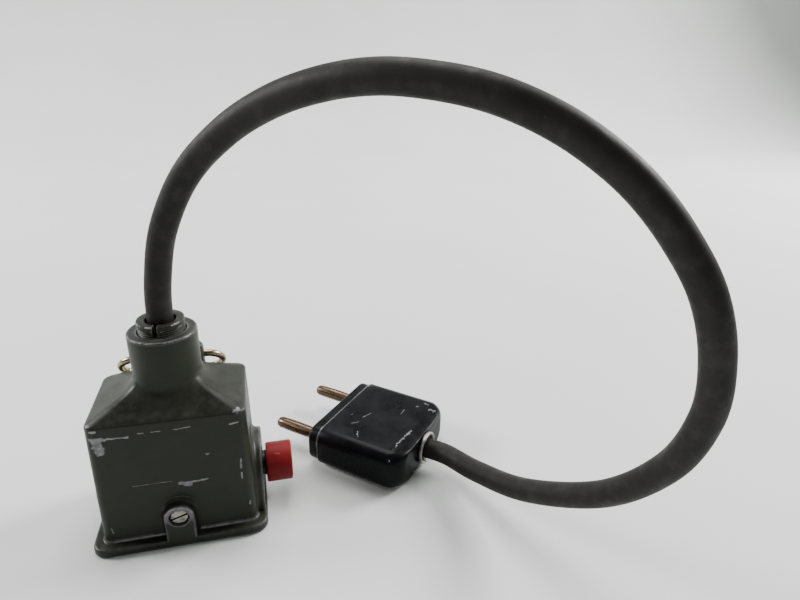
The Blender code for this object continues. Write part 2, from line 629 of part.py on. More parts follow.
def make_bush(mats):
    centre = (0, 0, BUTTON_Z)
    bore = PLUNGER_RADIUS + GAP
    flange_back = BUTTON_PAD_X - 0.8 * MM
    sleeve = [(bore, BUSH_INNER_X), (BUSH_RADIUS, BUSH_INNER_X), (BUSH_RADIUS, flange_back),
              (BUSH_FLANGE, flange_back), (BUSH_FLANGE, BUTTON_PAD_X),
              (BUSH_RADIUS, BUTTON_PAD_X), (BUSH_RADIUS, BUSH_NOSE_X - 0.4 * MM),
              (BUSH_RADIUS - 0.4 * MM, BUSH_NOSE_X), (bore, BUSH_NOSE_X)]
    add_object("button_bush", turned(sleeve, "X", ROUND, centre, closed=True), mats["black_plastic"])
    add_object("bush_nut", hexagon(13 * MM, 18.5 * MM, 20.8 * MM, centre, BUSH_RADIUS + GAP),
               mats["brass"])


# ------------------------------------------------------------ switch contacts
def make_contact_block(mats):
    foot = BASE_THICKNESS + GAP
    holder = add_object("contact_block",
                        block((BLOCK_BACK_X, -BLOCK_HALF_Y, foot),
                              (BLOCK_FACE_X, BLOCK_HALF_Y, BLOCK_TOP_Z)), mats["bakelite"])
    pocket = turned([(3.4 * MM, SPRING_POCKET_X), (3.4 * MM, 10 * MM)], "X", SMALL_ROUND,
                    (0, 0, BUTTON_Z))
    combine(holder, pocket, "DIFFERENCE")
    for side in (-1, 1):
        place = (BLOCK_SCREW_X, side * CONTACT_Y, 0)
        seat = turned([(SMALL_HOLE, 1 * MM), (SMALL_HOLE, 17 * MM),
                       (2.6 * MM, 17 * MM), (2.6 * MM, 21 * MM)], "Z", SMALL_ROUND, place)
        combine(holder, seat, "DIFFERENCE")
        terminal = turned([(SMALL_HOLE, 11 * MM), (SMALL_HOLE, 21 * MM)], "Z", SMALL_ROUND,
                          (TERMINAL_X, side * CONTACT_Y, 0))
        combine(holder, terminal, "DIFFERENCE")


def make_contacts(mats):
    for name, side in (("front", -1), ("back", 1)):
        y = side * CONTACT_Y
        low, high = y - CONTACT_HALF_WIDTH, y + CONTACT_HALF_WIDTH
        top = BLOCK_TOP_Z + GAP
        blade = add_object(f"contact_blade_{name}",
                           block((-5 * MM, low, top), (9.1 * MM, high, top + 0.8 * MM)), mats["brass"])
        combine(blade, block((8.3 * MM, low, 10.5 * MM), (9.1 * MM, high, top + 0.4 * MM)), "UNION")
        tip = BRIDGE_X - BUTTON_TRAVEL - GAP
        rivet = turned([(1.6 * MM, 8.6 * MM), (1.6 * MM, tip - 0.4 * MM), (1.2 * MM, tip)], "X",
                       SMALL_ROUND, (0, y, BUTTON_Z))
        combine(blade, rivet, "UNION")
        hole = turned([(SMALL_HOLE, top - 1 * MM), (SMALL_HOLE, top + 2 * MM)], "Z", SMALL_ROUND,
                      (TERMINAL_X, y, 0))
        combine(blade, hole, "DIFFERENCE")
        slotted_screw(f"terminal_screw_{name}", mats, "Z", 1, 22.2 * MM, 11.5 * MM,
                      (TERMINAL_X, y, 0), SMALL_SCREW, 2.4 * MM, 1.8 * MM)
        slotted_screw(f"block_screw_{name}", mats, "Z", 1, 18.9 * MM, 1.0 * MM,
                      (BLOCK_SCREW_X, y, 0), SMALL_SCREW, 2.2 * MM, 1.6 * MM)


def make_return_spring(mats):
    """A compression spring along X between the block's pocket and the nut."""
    start, end = SPRING_POCKET_X + GAP + SPRING_WIRE, 11.1 * MM - SPRING_WIRE
    steps = SPRING_COILS * 12
    points = []
    for k in range(steps + 1):
        turn = 2 * pi * SPRING_COILS * k / steps
        points.append((start + (end - start) * k / steps, SPRING_RADIUS * cos(turn),
                       BUTTON_Z + SPRING_RADIUS * sin(turn)))
    round_wire("return_spring", points, SPRING_WIRE, mats["steel"], resolution=1)


def make_core_wires(mats):
    """Two insulated cores from the cable's end down to the terminal screws."""
    for name, side, finish in (("front", -1, "wire_red"), ("back", 1, "wire_grey")):
        route = [(0, side * 1.6, 57.4), (-0.5, side * 1.8, 50), (-5, side * 3.5, 38),
                 (-9, side * 5.2, 29), (-8.5, side * 5.5, 23.5), (-4, side * 5.5, 21.6)]
        points = smooth_route([Vector(p) * MM for p in route], 3 * MM)
        round_wire(f"core_wire_{name}", points, 1.0 * MM, mats[finish], resolution=1)


# --------------------------------------------------------- cable and its plug
def make_cable(mats):
    points = smooth_route([Vector(p) * MM for p in CABLE_ROUTE], CABLE_STEP)
    round_wire("cable", points, CABLE_RADIUS, mats["rubber"], resolution=3)


def plug_section(angles, along, half_width, half_height, edge):
    """A rounded rectangle across the plug, at a place along its X axis."""
    ring = []
    for a in angles:
        r = box_radius(a, half_width, half_height, min(edge, half_height, half_width))
        ring.append(Vector((along, r * cos(a), r * sin(a))))
    return ring


def plug_circle(angles, along, radius):
    return [Vector((along, radius * cos(a), radius * sin(a))) for a in angles]


def make_plug_shell(mats, plug):
    angles = box_angles(PLUG_HALF_WIDTH, PLUG_HALF_HEIGHT, PLUG_EDGE, 8, 3, 5)
    front = FACE_THICKNESS + GAP
    inset = 0.4 * MM
    rings = [plug_section(angles, front, PLUG_HALF_WIDTH - inset, PLUG_HALF_HEIGHT - inset, PLUG_EDGE),
             plug_section(angles, front + 0.5 * MM, PLUG_HALF_WIDTH, PLUG_HALF_HEIGHT, PLUG_EDGE)]
    for k in range(6):
        turn = pi / 2 * k / 5
        along = PLUG_LENGTH - PLUG_CORNER + PLUG_CORNER * sin(turn)
        narrow = PLUG_CORNER * (1 - cos(turn))
        low = PLUG_DROP * (1 - cos(turn))
        rings.append(plug_section(angles, along, PLUG_HALF_WIDTH - narrow, PLUG_HALF_HEIGHT - low,
                                  PLUG_EDGE))
    rings.append(plug_circle(angles, PLUG_LENGTH, PLUG_BORE))
    inner_back = PLUG_LENGTH - 4 * MM
    rings.append(plug_circle(angles, inner_back, PLUG_BORE))
    inside_x, inside_y = PLUG_HALF_WIDTH - PLUG_WALL, PLUG_HALF_HEIGHT - PLUG_WALL
    inside_edge, taper = 3 * MM, 5 * MM
    rings.append(plug_section(angles, inner_back, inside_x - taper, inside_y, inside_edge))
    rings.append(plug_section(angles, inner_back - taper, inside_x, inside_y, inside_edge))
    rings.append(plug_section(angles, front, inside_x, inside_y, inside_edge))
    add_object("plug_shell", loft(rings, closed=True), mats["black_paint"], plug)


def make_plug_face(mats, plug):
    angles = box_angles(PLUG_HALF_WIDTH, PLUG_HALF_HEIGHT, PLUG_EDGE, 8, 3, 5)
    rings = []
    for along, inset in ((0.0, 1.5), (0.6 * MM, 0.9), (FACE_THICKNESS, 0.7)):
        rings.append(plug_section(angles, along, PLUG_HALF_WIDTH - inset * MM,
                                  PLUG_HALF_HEIGHT - inset * MM, PLUG_EDGE))
    face = add_object("plug_face", loft(rings), mats["black_plastic"], plug)
    bpy.context.view_layer.update()
    for side in (-1, 1):
        hole = turned([(PIN_TAIL_RADIUS + GAP, -2 * MM), (PIN_TAIL_RADIUS + GAP, 8 * MM)], "X",
                      SMALL_ROUND, (0, side * PIN_SPACING / 2, 0))
        combine(face, hole, "DIFFERENCE")


def make_plug_pins(mats, plug):
    for name, side in (("front", -1), ("back", 1)):
        y = side * PIN_SPACING / 2
        profile = [(1.4 * MM, -PIN_LENGTH), (PIN_RADIUS, 1.6 * MM - PIN_LENGTH), (PIN_RADIUS, -GAP),
                   (PIN_TAIL_RADIUS, -GAP), (PIN_TAIL_RADIUS, PIN_TAIL)]
        pin = add_object(f"plug_pin_{name}", turned(profile, "X", 24, (0, y, 0)), mats["brass"], plug)
        bpy.context.view_layer.update()
        slit, slit_end = 0.3 * MM, -3.5 * MM
        combine(pin, block((-PIN_LENGTH - 1 * MM, y - slit, -5 * MM), (slit_end, y + slit, 5 * MM)),
                "DIFFERENCE")
        combine(pin, block((-PIN_LENGTH - 1 * MM, y - 5 * MM, -slit), (slit_end, y + 5 * MM, slit)),
                "DIFFERENCE")
        nut_start = FACE_THICKNESS + 0.4 * MM
        add_object(f"pin_nut_{name}", hexagon(7 * MM, nut_start, nut_start + 2.4 * MM, (0, y, 0),
                                              PIN_TAIL_RADIUS + GAP), mats["brass"], plug)
        route = [(34.5, side * 1.6, 0), (28, side * 3.5, 0), (20, side * 10, 0.5), (14, side * 14, 0.5),
                 (12.8, side * 14.5, 0)]
        points = smooth_route([Vector(p) * MM for p in route], 3 * MM)
        finish = mats["wire_red" if side < 0 else "wire_grey"]
        round_wire(f"plug_wire_{name}", points, 1.0 * MM, finish, resolution=1, parent=plug)


def make_plug(mats):
    plug = empty("plug_frame", PLUG_PLACE, (0, 0, PLUG_TURN))
    make_plug_shell(mats, plug)
    make_plug_face(mats, plug)
    make_plug_pins(mats, plug)
    start, end = PLUG_LENGTH + GAP, PLUG_LENGTH + FERRULE_LENGTH
    ring = [(FERRULE_INNER, start), (FERRULE_OUTER, start), (FERRULE_OUTER, end - 0.3 * MM),
            (FERRULE_OUTER - 0.3 * MM, end), (FERRULE_INNER, end)]
    add_object("cable_ferrule", turned(ring, "X", ROUND, closed=True), mats["steel"], plug)


# ----------------------------------------------------------------------- main
def main():
    for old in list(bpy.data.objects):
        bpy.data.objects.remove(old, do_unlink=True)
    mats = make_materials()
    make_housing(mats)
    make_base(mats)
    make_cover_screws(mats)
    make_gland(mats)
    make_strap_ring(mats)
    make_bush(mats)
    make_button(mats)
    make_contact_block(mats)
    make_contacts(mats)
    make_return_spring(mats)
    make_core_wires(mats)
    make_cable(mats)
    make_plug(mats)


main()
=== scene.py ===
# %% [markdown]
# # A push-button morse key with its lead and plug
# The real key is a small die-cast box that stands on a flange. A stiff rubber lead leaves
# its round neck and ends in a flat two-pin plug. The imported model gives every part's size
# and place, so this lesson only gives the parts their fine shapes and their finishes.

import json
from math import atan2, cos, pi, radians, sin, sqrt

import bmesh
import bpy
from mathutils import Matrix, Vector


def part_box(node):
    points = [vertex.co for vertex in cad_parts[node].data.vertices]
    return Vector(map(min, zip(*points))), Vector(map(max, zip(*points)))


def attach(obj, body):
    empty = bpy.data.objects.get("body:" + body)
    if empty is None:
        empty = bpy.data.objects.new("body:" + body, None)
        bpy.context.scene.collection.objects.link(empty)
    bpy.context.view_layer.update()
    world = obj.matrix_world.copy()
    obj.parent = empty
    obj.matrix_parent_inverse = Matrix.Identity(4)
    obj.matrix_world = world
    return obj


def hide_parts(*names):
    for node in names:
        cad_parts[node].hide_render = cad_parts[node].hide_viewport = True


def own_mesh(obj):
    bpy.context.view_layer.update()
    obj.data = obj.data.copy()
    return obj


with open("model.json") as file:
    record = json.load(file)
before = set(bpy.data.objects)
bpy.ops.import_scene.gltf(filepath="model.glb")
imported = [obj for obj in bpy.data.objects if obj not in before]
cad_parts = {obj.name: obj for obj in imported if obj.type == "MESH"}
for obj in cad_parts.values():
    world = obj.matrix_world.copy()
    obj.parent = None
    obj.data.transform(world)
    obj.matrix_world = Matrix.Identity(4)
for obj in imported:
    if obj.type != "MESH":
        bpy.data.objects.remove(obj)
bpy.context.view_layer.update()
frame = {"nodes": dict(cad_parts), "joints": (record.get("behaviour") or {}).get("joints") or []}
MM = 0.001

# %% [markdown]
# ## The camera
# The key is seen from close by and a little to its right, looking down on it, so the far
# end of the lead looks much smaller than the near end. A short lens close to the object
# gives that strong perspective, where a long lens from far away would flatten it.

# %% Camera
CAMERA_PLACE = Vector((31.8, -174.3, 152.8)) * MM
CAMERA_YAW = radians(15.05)
CAMERA_PITCH = radians(23.2)
CAMERA_ROLL = radians(1.73)
LENS_MM = 25.16


def make_camera():
    """A camera that stands at its place, turned, tilted down and slightly rolled."""
    data = bpy.data.cameras.new("camera")
    data.lens = LENS_MM
    data.sensor_width = 36.0
    data.clip_start = 0.01
    camera = bpy.data.objects.new("camera", data)
    turn = Matrix.Rotation(-CAMERA_YAW, 4, "Z")
    tilt = Matrix.Rotation(pi / 2 - CAMERA_PITCH, 4, "X")
    roll = Matrix.Rotation(CAMERA_ROLL, 4, "Z")
    camera.matrix_world = Matrix.Translation(CAMERA_PLACE) @ turn @ tilt @ roll
    bpy.context.scene.collection.objects.link(camera)
    bpy.context.scene.camera = camera
    return camera


make_camera()
print("camera height in mm:", round(CAMERA_PLACE.z / MM, 1))

# %% [markdown]
# ## Tools for node materials
# A procedural material is a small network of nodes. A few helpers keep each network short:
# they place a node and fill its sockets, mix two colours, turn a range of values into a
# clean mask from 0 to 1, and build or place a node group.

# %% Node helpers
def place(tree, kind, settings=None, **sockets):
    """Add a node. settings are its properties, sockets its values or incoming links."""
    made = tree.nodes.new(kind)
    for key, value in (settings or {}).items():
        setattr(made, key, value)
    for key, value in sockets.items():
        socket = made.inputs[key.replace("_", " ")]
        if isinstance(value, bpy.types.NodeSocket):
            tree.links.new(value, socket)
        else:
            socket.default_value = value
    return made


def mixed(tree, factor, first, second):
    """A colour between first and second."""
    made = tree.nodes.new("ShaderNodeMix")
    made.data_type = "RGBA"
    for socket, value in ((made.inputs[0], factor), (made.inputs[6], first), (made.inputs[7], second)):
        if isinstance(value, bpy.types.NodeSocket):
            tree.links.new(value, socket)
        elif isinstance(value, tuple):
            socket.default_value = (*value, 1.0)
        else:
            socket.default_value = value
    return made.outputs[2]


def maths(tree, operation, first, second=0.0, clamp=False):
    """One step of arithmetic on values or sockets."""
    made = tree.nodes.new("ShaderNodeMath")
    made.operation = operation
    made.use_clamp = clamp
    for socket, value in ((made.inputs[0], first), (made.inputs[1], second)):
        if isinstance(value, bpy.types.NodeSocket):
            tree.links.new(value, socket)
        else:
            socket.default_value = value
    return made.outputs[0]


def between(tree, value, low, high, start=0.0, end=1.0):
    """value from low to high becomes start to end, and stays inside them."""
    made = place(tree, "ShaderNodeMapRange", {"interpolation_type": "SMOOTHSTEP"}, Value=value,
                 From_Min=low, From_Max=high, To_Min=start, To_Max=end)
    return made.outputs["Result"]


def noise(tree, scale, detail=4.0, roughness=0.55, vector=None, stretch=None):
    """Noise in object space, where one unit is a metre; stretch squeezes it along an axis."""
    if vector is None:
        vector = place(tree, "ShaderNodeTexCoord").outputs["Object"]
    if stretch is not None:
        vector = place(tree, "ShaderNodeMapping", Vector=vector, Scale=stretch).outputs["Vector"]
    return place(tree, "ShaderNodeTexNoise", Vector=vector, Scale=scale, Detail=detail,
                 Roughness=roughness).outputs["Fac"]


def new_material(name):
    """An empty node material with its shader and output already joined."""
    made = bpy.data.materials.new(name)
    made.use_nodes = True
    return made, made.node_tree, made.node_tree.nodes["Principled BSDF"]


def feed(tree, shader, **sockets):
    """Join sockets or set plain values on the shader."""
    for key, value in sockets.items():
        socket = shader.inputs[key.replace("_", " ")]
        if isinstance(value, bpy.types.NodeSocket):
            tree.links.new(value, socket)
        elif isinstance(value, tuple):
            socket.default_value = (*value, 1.0)
        else:
            socket.default_value = value


def bumped(tree, shader, height, distance, strength=1.0):
    """Raise and lower the surface by a height map, over a distance in metres."""
    bump = place(tree, "ShaderNodeBump", Height=height, Distance=distance, Strength=strength)
    tree.links.new(bump.outputs["Normal"], shader.inputs["Normal"])


def new_group(name, inputs, outputs):
    """A shader node group with named number or vector inputs and number outputs."""
    tree = bpy.data.node_groups.new(name, "ShaderNodeTree")
    for label, kind, default in inputs:
        socket = tree.interface.new_socket(label, in_out="INPUT", socket_type=f"NodeSocket{kind}")
        socket.default_value = default
    for label in outputs:
        tree.interface.new_socket(label, in_out="OUTPUT", socket_type="NodeSocketFloat")
    return tree, tree.nodes.new("NodeGroupInput").outputs, tree.nodes.new("NodeGroupOutput").inputs


def use_group(tree, group, **sockets):
    """Place a node group in a material."""
    return place(tree, "ShaderNodeGroup", {"node_tree": group}, **sockets).outputs


# %% [markdown]
# ## Effects that several finishes share
# Paint rubs off where an edge sticks out. An inward Ambient Occlusion node looks from the
# surface into the solid: near an outer edge its rays soon meet the other side, and in an
# inner corner they never do, so it marks the outer edges alone, whatever the mesh looks
# like. Noise then breaks the mark up, because real wear is never an even line.

# %% Worn edges
def make_worn_edges():
    """Masks of rubbed edges: Bare is broken-up bare metal, Rubbed a wider polished band."""
    tree, given, out = new_group("worn_edges", [("Radius", "Float", 0.0015), ("Scale", "Float", 500.0),
                                                ("Spread", "Float", 0.5)], ["Bare", "Rubbed"])
    inward = place(tree, "ShaderNodeAmbientOcclusion", {"samples": 8, "inside": True, "only_local": True},
                   Distance=given["Radius"]).outputs["AO"]
    edge = maths(tree, "SUBTRACT", 1.0, inward, clamp=True)
    fine = noise(tree, given["Scale"], 6.0, 0.7)
    broad = noise(tree, maths(tree, "MULTIPLY", given["Scale"], 0.17), 3.0, 0.6)
    patchy = maths(tree, "ADD", maths(tree, "MULTIPLY", fine, 0.6), maths(tree, "MULTIPLY", broad, 0.6))
    reach = maths(tree, "MULTIPLY", between(tree, edge, 0.08, 0.42), 0.75)
    total = maths(tree, "ADD", reach, maths(tree, "ADD", patchy, given["Spread"]))
    tree.links.new(between(tree, total, 1.55, 1.64), out["Bare"])
    tree.links.new(between(tree, total, 1.2, 1.6), out["Rubbed"])
    return tree


WORN_EDGES = make_worn_edges()
print("group:", WORN_EDGES.name)

# %% [markdown]
# Knocks, scratches and the painted highlight on a boss rim are places, not rules. This
# group measures how far a point lies from a short straight line, after noise has pushed
# the point about, so that each mark gets a ragged outline. Many small marks cost far less
# than an image would.

# %% Scratches, chips and painted highlights
def make_scratch():
    """A ragged mark along a line from Start to End."""
    tree, given, out = new_group("scratch", [("Start", "Vector", (0, 0, 0)), ("End", "Vector", (0, 0, 0)),
                                             ("Width", "Float", 0.0005), ("Ragged", "Float", 0.0006)],
                                 ["Mask"])

    def vector(operation, first, second):
        made = place(tree, "ShaderNodeVectorMath", {"operation": operation})
        tree.links.new(first, made.inputs[0])
        tree.links.new(second, made.inputs[1])
        return made

    where = place(tree, "ShaderNodeTexCoord").outputs["Object"]
    push = place(tree, "ShaderNodeTexNoise", Vector=where, Scale=900.0, Detail=3.0).outputs["Color"]
    middle = place(tree, "ShaderNodeVectorMath", {"operation": "SUBTRACT"})
    tree.links.new(push, middle.inputs[0])
    middle.inputs[1].default_value = (0.5, 0.5, 0.5)
    pushed = place(tree, "ShaderNodeVectorMath", {"operation": "SCALE"})
    tree.links.new(middle.outputs["Vector"], pushed.inputs[0])
    tree.links.new(given["Ragged"], pushed.inputs["Scale"])
    point = vector("ADD", where, pushed.outputs["Vector"]).outputs["Vector"]
    run = vector("SUBTRACT", given["End"], given["Start"]).outputs["Vector"]
    reach = vector("SUBTRACT", point, given["Start"]).outputs["Vector"]
    along = vector("DOT_PRODUCT", reach, run).outputs["Value"]
    length = maths(tree, "ADD", vector("DOT_PRODUCT", run, run).outputs["Value"], 1e-9)
    share = maths(tree, "DIVIDE", along, length, clamp=True)
    part = place(tree, "ShaderNodeVectorMath", {"operation": "SCALE"})
    tree.links.new(run, part.inputs[0])
    tree.links.new(share, part.inputs["Scale"])
    away = vector("DISTANCE", reach, part.outputs["Vector"]).outputs["Value"]
    mask = maths(tree, "SUBTRACT", 1.0, maths(tree, "DIVIDE", away, given["Width"]))
    tree.links.new(between(tree, mask, 0.0, 0.35), out["Mask"])
    return tree


SCRATCH = make_scratch()


def scratched(tree, marks, mask=None):
    """The union of marks, each (start, end, width in mm, raggedness in mm), with points in mm."""
    for start, end, width, ragged in marks:
        one = use_group(tree, SCRATCH, Start=Vector(start) * MM, End=Vector(end) * MM,
                        Width=width * MM, Ragged=ragged * MM)["Mask"]
        mask = one if mask is None else maths(tree, "MAXIMUM", mask, one)
    return mask


print("group:", SCRATCH.name)


# %% Worn rims
def make_rim_wear():
    """A thin broken line of wear round a circle, such as the lip of a turned part."""
    tree, given, out = new_group("rim_wear", [("Centre", "Vector", (0, 0, 0)), ("Axis", "Vector", (0, 0, 1)),
                                              ("Radius", "Float", 0.01), ("Width", "Float", 0.0004),
                                              ("Amount", "Float", 0.5)], ["Mask"])
    where = place(tree, "ShaderNodeTexCoord").outputs["Object"]
    reach = place(tree, "ShaderNodeVectorMath", {"operation": "SUBTRACT"})
    tree.links.new(where, reach.inputs[0])
    tree.links.new(given["Centre"], reach.inputs[1])
    height = place(tree, "ShaderNodeVectorMath", {"operation": "DOT_PRODUCT"})
    tree.links.new(reach.outputs["Vector"], height.inputs[0])
    tree.links.new(given["Axis"], height.inputs[1])
    height = height.outputs["Value"]
    whole = place(tree, "ShaderNodeVectorMath", {"operation": "LENGTH"})
    tree.links.new(reach.outputs["Vector"], whole.inputs[0])
    square = maths(tree, "POWER", whole.outputs["Value"], 2.0)
    square = maths(tree, "SUBTRACT", square, maths(tree, "POWER", height, 2.0))
    radial = maths(tree, "SQRT", maths(tree, "MAXIMUM", square, 0.0))
    off_rim = maths(tree, "ABSOLUTE", maths(tree, "SUBTRACT", radial, given["Radius"]))
    aside = maths(tree, "POWER", off_rim, 2.0)
    away = maths(tree, "SQRT", maths(tree, "ADD", aside, maths(tree, "POWER", height, 2.0)))
    line = maths(tree, "SUBTRACT", 1.0, maths(tree, "DIVIDE", away, given["Width"]))
    broken = maths(tree, "ADD", noise(tree, 420.0, 5.0, 0.7), given["Amount"])
    mask = maths(tree, "MULTIPLY", between(tree, line, 0.0, 0.5), between(tree, broken, 1.0, 1.07))
    tree.links.new(mask, out["Mask"])
    return tree


RIM_WEAR = make_rim_wear()


def rubbed_rims(tree, rims, mask):
    """Adds worn rims, each (centre, axis, radius, width in mm, amount), to a mask."""
    for centre, axis, radius, width, amount in rims:
        one = use_group(tree, RIM_WEAR, Centre=Vector(centre) * MM, Axis=axis, Radius=radius * MM,
                        Width=width * MM, Amount=amount)["Mask"]
        mask = maths(tree, "MAXIMUM", mask, one)
    return mask


print("group:", RIM_WEAR.name)

# %% [markdown]
# Every surface that has been handled is a little uneven in gloss and slightly rough to the
# eye. One group gives both: a fine height for the bump, and a slow patchiness that a
# finish can use to vary its roughness or its colour.

# %% Grain and patches
def make_grain():
    """Height is fine grain, Patches is a slow change from place to place."""
    tree, given, out = new_group("grain", [("Scale", "Float", 1500.0), ("Coarse", "Float", 120.0)],
                                 ["Height", "Patches"])
    fine = noise(tree, given["Scale"], 4.0, 0.6)
    peel = noise(tree, maths(tree, "MULTIPLY", given["Scale"], 0.3), 2.0, 0.5)
    height = maths(tree, "ADD", maths(tree, "MULTIPLY", fine, 0.6), maths(tree, "MULTIPLY", peel, 0.4))
    tree.links.new(height, out["Height"])
    tree.links.new(between(tree, noise(tree, given["Coarse"], 5.0, 0.6), 0.3, 0.7), out["Patches"])
    return tree


GRAIN = make_grain()


def make_settled_dust():
    """Dust lies on faces that look up, in patches."""
    tree, given, out = new_group("settled_dust", [("Scale", "Float", 350.0)], ["Mask"])
    normal = place(tree, "ShaderNodeNewGeometry").outputs["Normal"]
    up = place(tree, "ShaderNodeSeparateXYZ", Vector=normal).outputs["Z"]
    patchy = between(tree, noise(tree, given["Scale"], 6.0, 0.7), 0.35, 0.75)
    tree.links.new(maths(tree, "MULTIPLY", between(tree, up, 0.2, 0.95), patchy), out["Mask"])
    return tree


DUST = make_settled_dust()
print("groups:", GRAIN.name, DUST.name)

# %% [markdown]
# ## Painted castings
# The box is cast in a light alloy and sprayed a dark olive, semi-matt. Handling has rubbed
# the paint from its edges, and a few knocks on the front show bare, dull metal. The bare
# marks round the upper rim of the front boss are also a painted highlight. Paint is a
# layer, so the bump lets its surface stand a hair above the bare spots.

# %% Olive paint
OLIVE_DARK = (0.0105, 0.0118, 0.0068)
OLIVE_LIGHT = (0.0165, 0.0182, 0.0108)
BARE_ALLOY = (0.20, 0.19, 0.21)
DUST_GREY = (0.10, 0.10, 0.09)


def painted(name, dark, light, metal, marks, wear, gloss, sheen, radius=0.0016, dust=0.2,
            rims=()):
    """Paint over metal: grain, patches, dust, rubbed edges and single marks."""
    made, tree, shader = new_material(name)
    grain = use_group(tree, GRAIN, Scale=1400.0, Coarse=90.0)
    edges = use_group(tree, WORN_EDGES, Radius=radius, Scale=520.0, Spread=wear)
    # The marks also carry the painted highlight on the case's boss rim, drawn in the bare-metal colour.
    bare = rubbed_rims(tree, rims, scratched(tree, marks, edges["Bare"]))
    colour = mixed(tree, grain["Patches"], dark, light)
    dusty = maths(tree, "MULTIPLY", use_group(tree, DUST, Scale=300.0)["Mask"], dust)
    colour = mixed(tree, dusty, colour, DUST_GREY)
    colour = mixed(tree, maths(tree, "MULTIPLY", edges["Rubbed"], 0.35), colour, metal)
    spots = between(tree, noise(tree, 700.0, 3.0), 0.3, 0.7)
    tarnished = mixed(tree, spots, metal, tuple(0.55 * c for c in metal))
    low, high = gloss
    worn = maths(tree, "MULTIPLY", edges["Rubbed"], 0.08)
    rough = maths(tree, "SUBTRACT", between(tree, grain["Patches"], 0.0, 1.0, low, high), worn)
    rough = maths(tree, "ADD", rough, maths(tree, "MULTIPLY", dusty, 0.5))
    feed(tree, shader, Base_Color=mixed(tree, bare, colour, tarnished), Roughness=rough,
         Metallic=maths(tree, "MULTIPLY", bare, 0.6), Specular_IOR_Level=sheen)
    height = maths(tree, "SUBTRACT", maths(tree, "MULTIPLY", grain["Height"], 0.35), bare)
    bumped(tree, shader, height, 0.00006, 0.6)
    return made


FOOT_X, FOOT_Y = 25.0, 17.5
EAVES_X, EAVES_Y, EAVES_Z = 24.0, 16.4, 47.7
WALL_LEAN = (FOOT_Y - EAVES_Y) / EAVES_Z


def on_front(x, z):
    """A place on the leaning front wall, in millimetres."""
    return (x, WALL_LEAN * z - FOOT_Y, z)


CASE_MARKS = [
    (on_front(-21.0, 43.0), on_front(-20.0, 39.2), 1.7, 2.6),
    (on_front(-22.4, 43.7), on_front(-18.5, 43.4), 0.8, 1.4),
    (on_front(-18.5, 43.6), on_front(-11.6, 43.4), 0.34, 0.8),
    (on_front(-22.6, 46.4), on_front(-20.4, 46.5), 0.5, 0.6),
    (on_front(1.6, 23.3), on_front(4.6, 22.4), 1.0, 2.2),
    (on_front(4.6, 23.2), on_front(9.8, 23.6), 0.4, 0.8),
    ((20.9, -15.9, 47.9), (22.6, -15.0, 48.7), 0.9, 3.0),
    (on_front(18.7, 43.6), on_front(21.2, 44.0), 0.35, 0.7),
    (on_front(21.1, 29.6), on_front(21.0, 26.0), 0.35, 0.9),
    (on_front(20.9, 24.0), on_front(20.9, 22.0), 0.35, 0.6),
    (on_front(22.9, 11.6), on_front(22.7, 10.4), 0.45, 0.6),
    (on_front(1.8, 44.1), on_front(6.8, 44.5), 0.2, 0.6),
    (on_front(-4.8, 44.2), on_front(-2.2, 44.2), 0.2, 0.3),
    (on_front(-8.6, 44.2), on_front(-7.2, 44.2), 0.25, 0.3),
    (on_front(10.6, 33.4), on_front(11.2, 33.4), 0.35, 0.5),
    (on_front(-13.0, 24.6), on_front(-1.0, 24.6), 0.09, 0.3),
    (on_front(-21.5, 9.0), on_front(-21.2, 7.0), 0.2, 0.5),
]
# The four marks round the upper rim of the front screw boss are partly rubbed paint and partly a painted
# highlight, where light falls on that rim.
BOSS_FACE_Y, BOSS_MIDDLE_Z, BOSS_RIM = -20.6, 12.0, 4.6
for k in range(4):
    near, far = (radians(25 + 33 * (k + end)) for end in (0, 1))
    CASE_MARKS.append(((BOSS_RIM * cos(near), BOSS_FACE_Y, BOSS_MIDDLE_Z + BOSS_RIM * sin(near)),
                       (BOSS_RIM * cos(far), BOSS_FACE_Y, BOSS_MIDDLE_Z + BOSS_RIM * sin(far)),
                       0.45, 0.7))
CASE_RIMS = [((0, 0, 71.5), (0, 0, 1), 10.45, 0.4, 0.5)]
OLIVE = painted("olive_paint_worn_with_painted_highlight", OLIVE_DARK, OLIVE_LIGHT, BARE_ALLOY, CASE_MARKS, 0.43, (0.35, 0.47), 0.2,
                rims=CASE_RIMS)
print("marks on the case:", len(CASE_MARKS))

# %% [markdown]
# The plug's cover is painted black and a little glossier. Its corners are the first thing
# to hit the floor, so they carry small bright chips.

# %% Black paint on the plug
PLUG_LOW, PLUG_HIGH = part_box("plug_shell")
print("plug cover height in mm:", round((PLUG_HIGH.z - PLUG_LOW.z) / MM, 2))


def centre_of(node):
    """The middle of a CAD node's box."""
    low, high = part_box(node)
    return (low + high) / 2


PLUG_LENGTH = 41.5
PLUG_WIDTH, PLUG_HEIGHT = 46.0, 16.5
FERRULE_MIDDLE = centre_of("cable_ferrule")
PINS_MIDDLE = (centre_of("plug_pin_front") + centre_of("plug_pin_back")) / 2
PLUG_TURN = atan2(FERRULE_MIDDLE.y - PINS_MIDDLE.y, FERRULE_MIDDLE.x - PINS_MIDDLE.x)
FERRULE_OFFSET = 1.15
PLUG_SPIN = Matrix.Rotation(PLUG_TURN, 4, "Z")
PLUG_START = FERRULE_MIDDLE - PLUG_SPIN @ Vector((PLUG_LENGTH + FERRULE_OFFSET, 0, 0)) * MM
PLUG_PLACE = Matrix.Translation(PLUG_START) @ PLUG_SPIN
print("plug turned by degrees:", round(PLUG_TURN / radians(1), 2))


def on_plug(along, across, up):
    """A place on the plug, in world millimetres, from its pin face towards its lead."""
    return PLUG_PLACE @ (Vector((along, across, up)) * MM) / MM


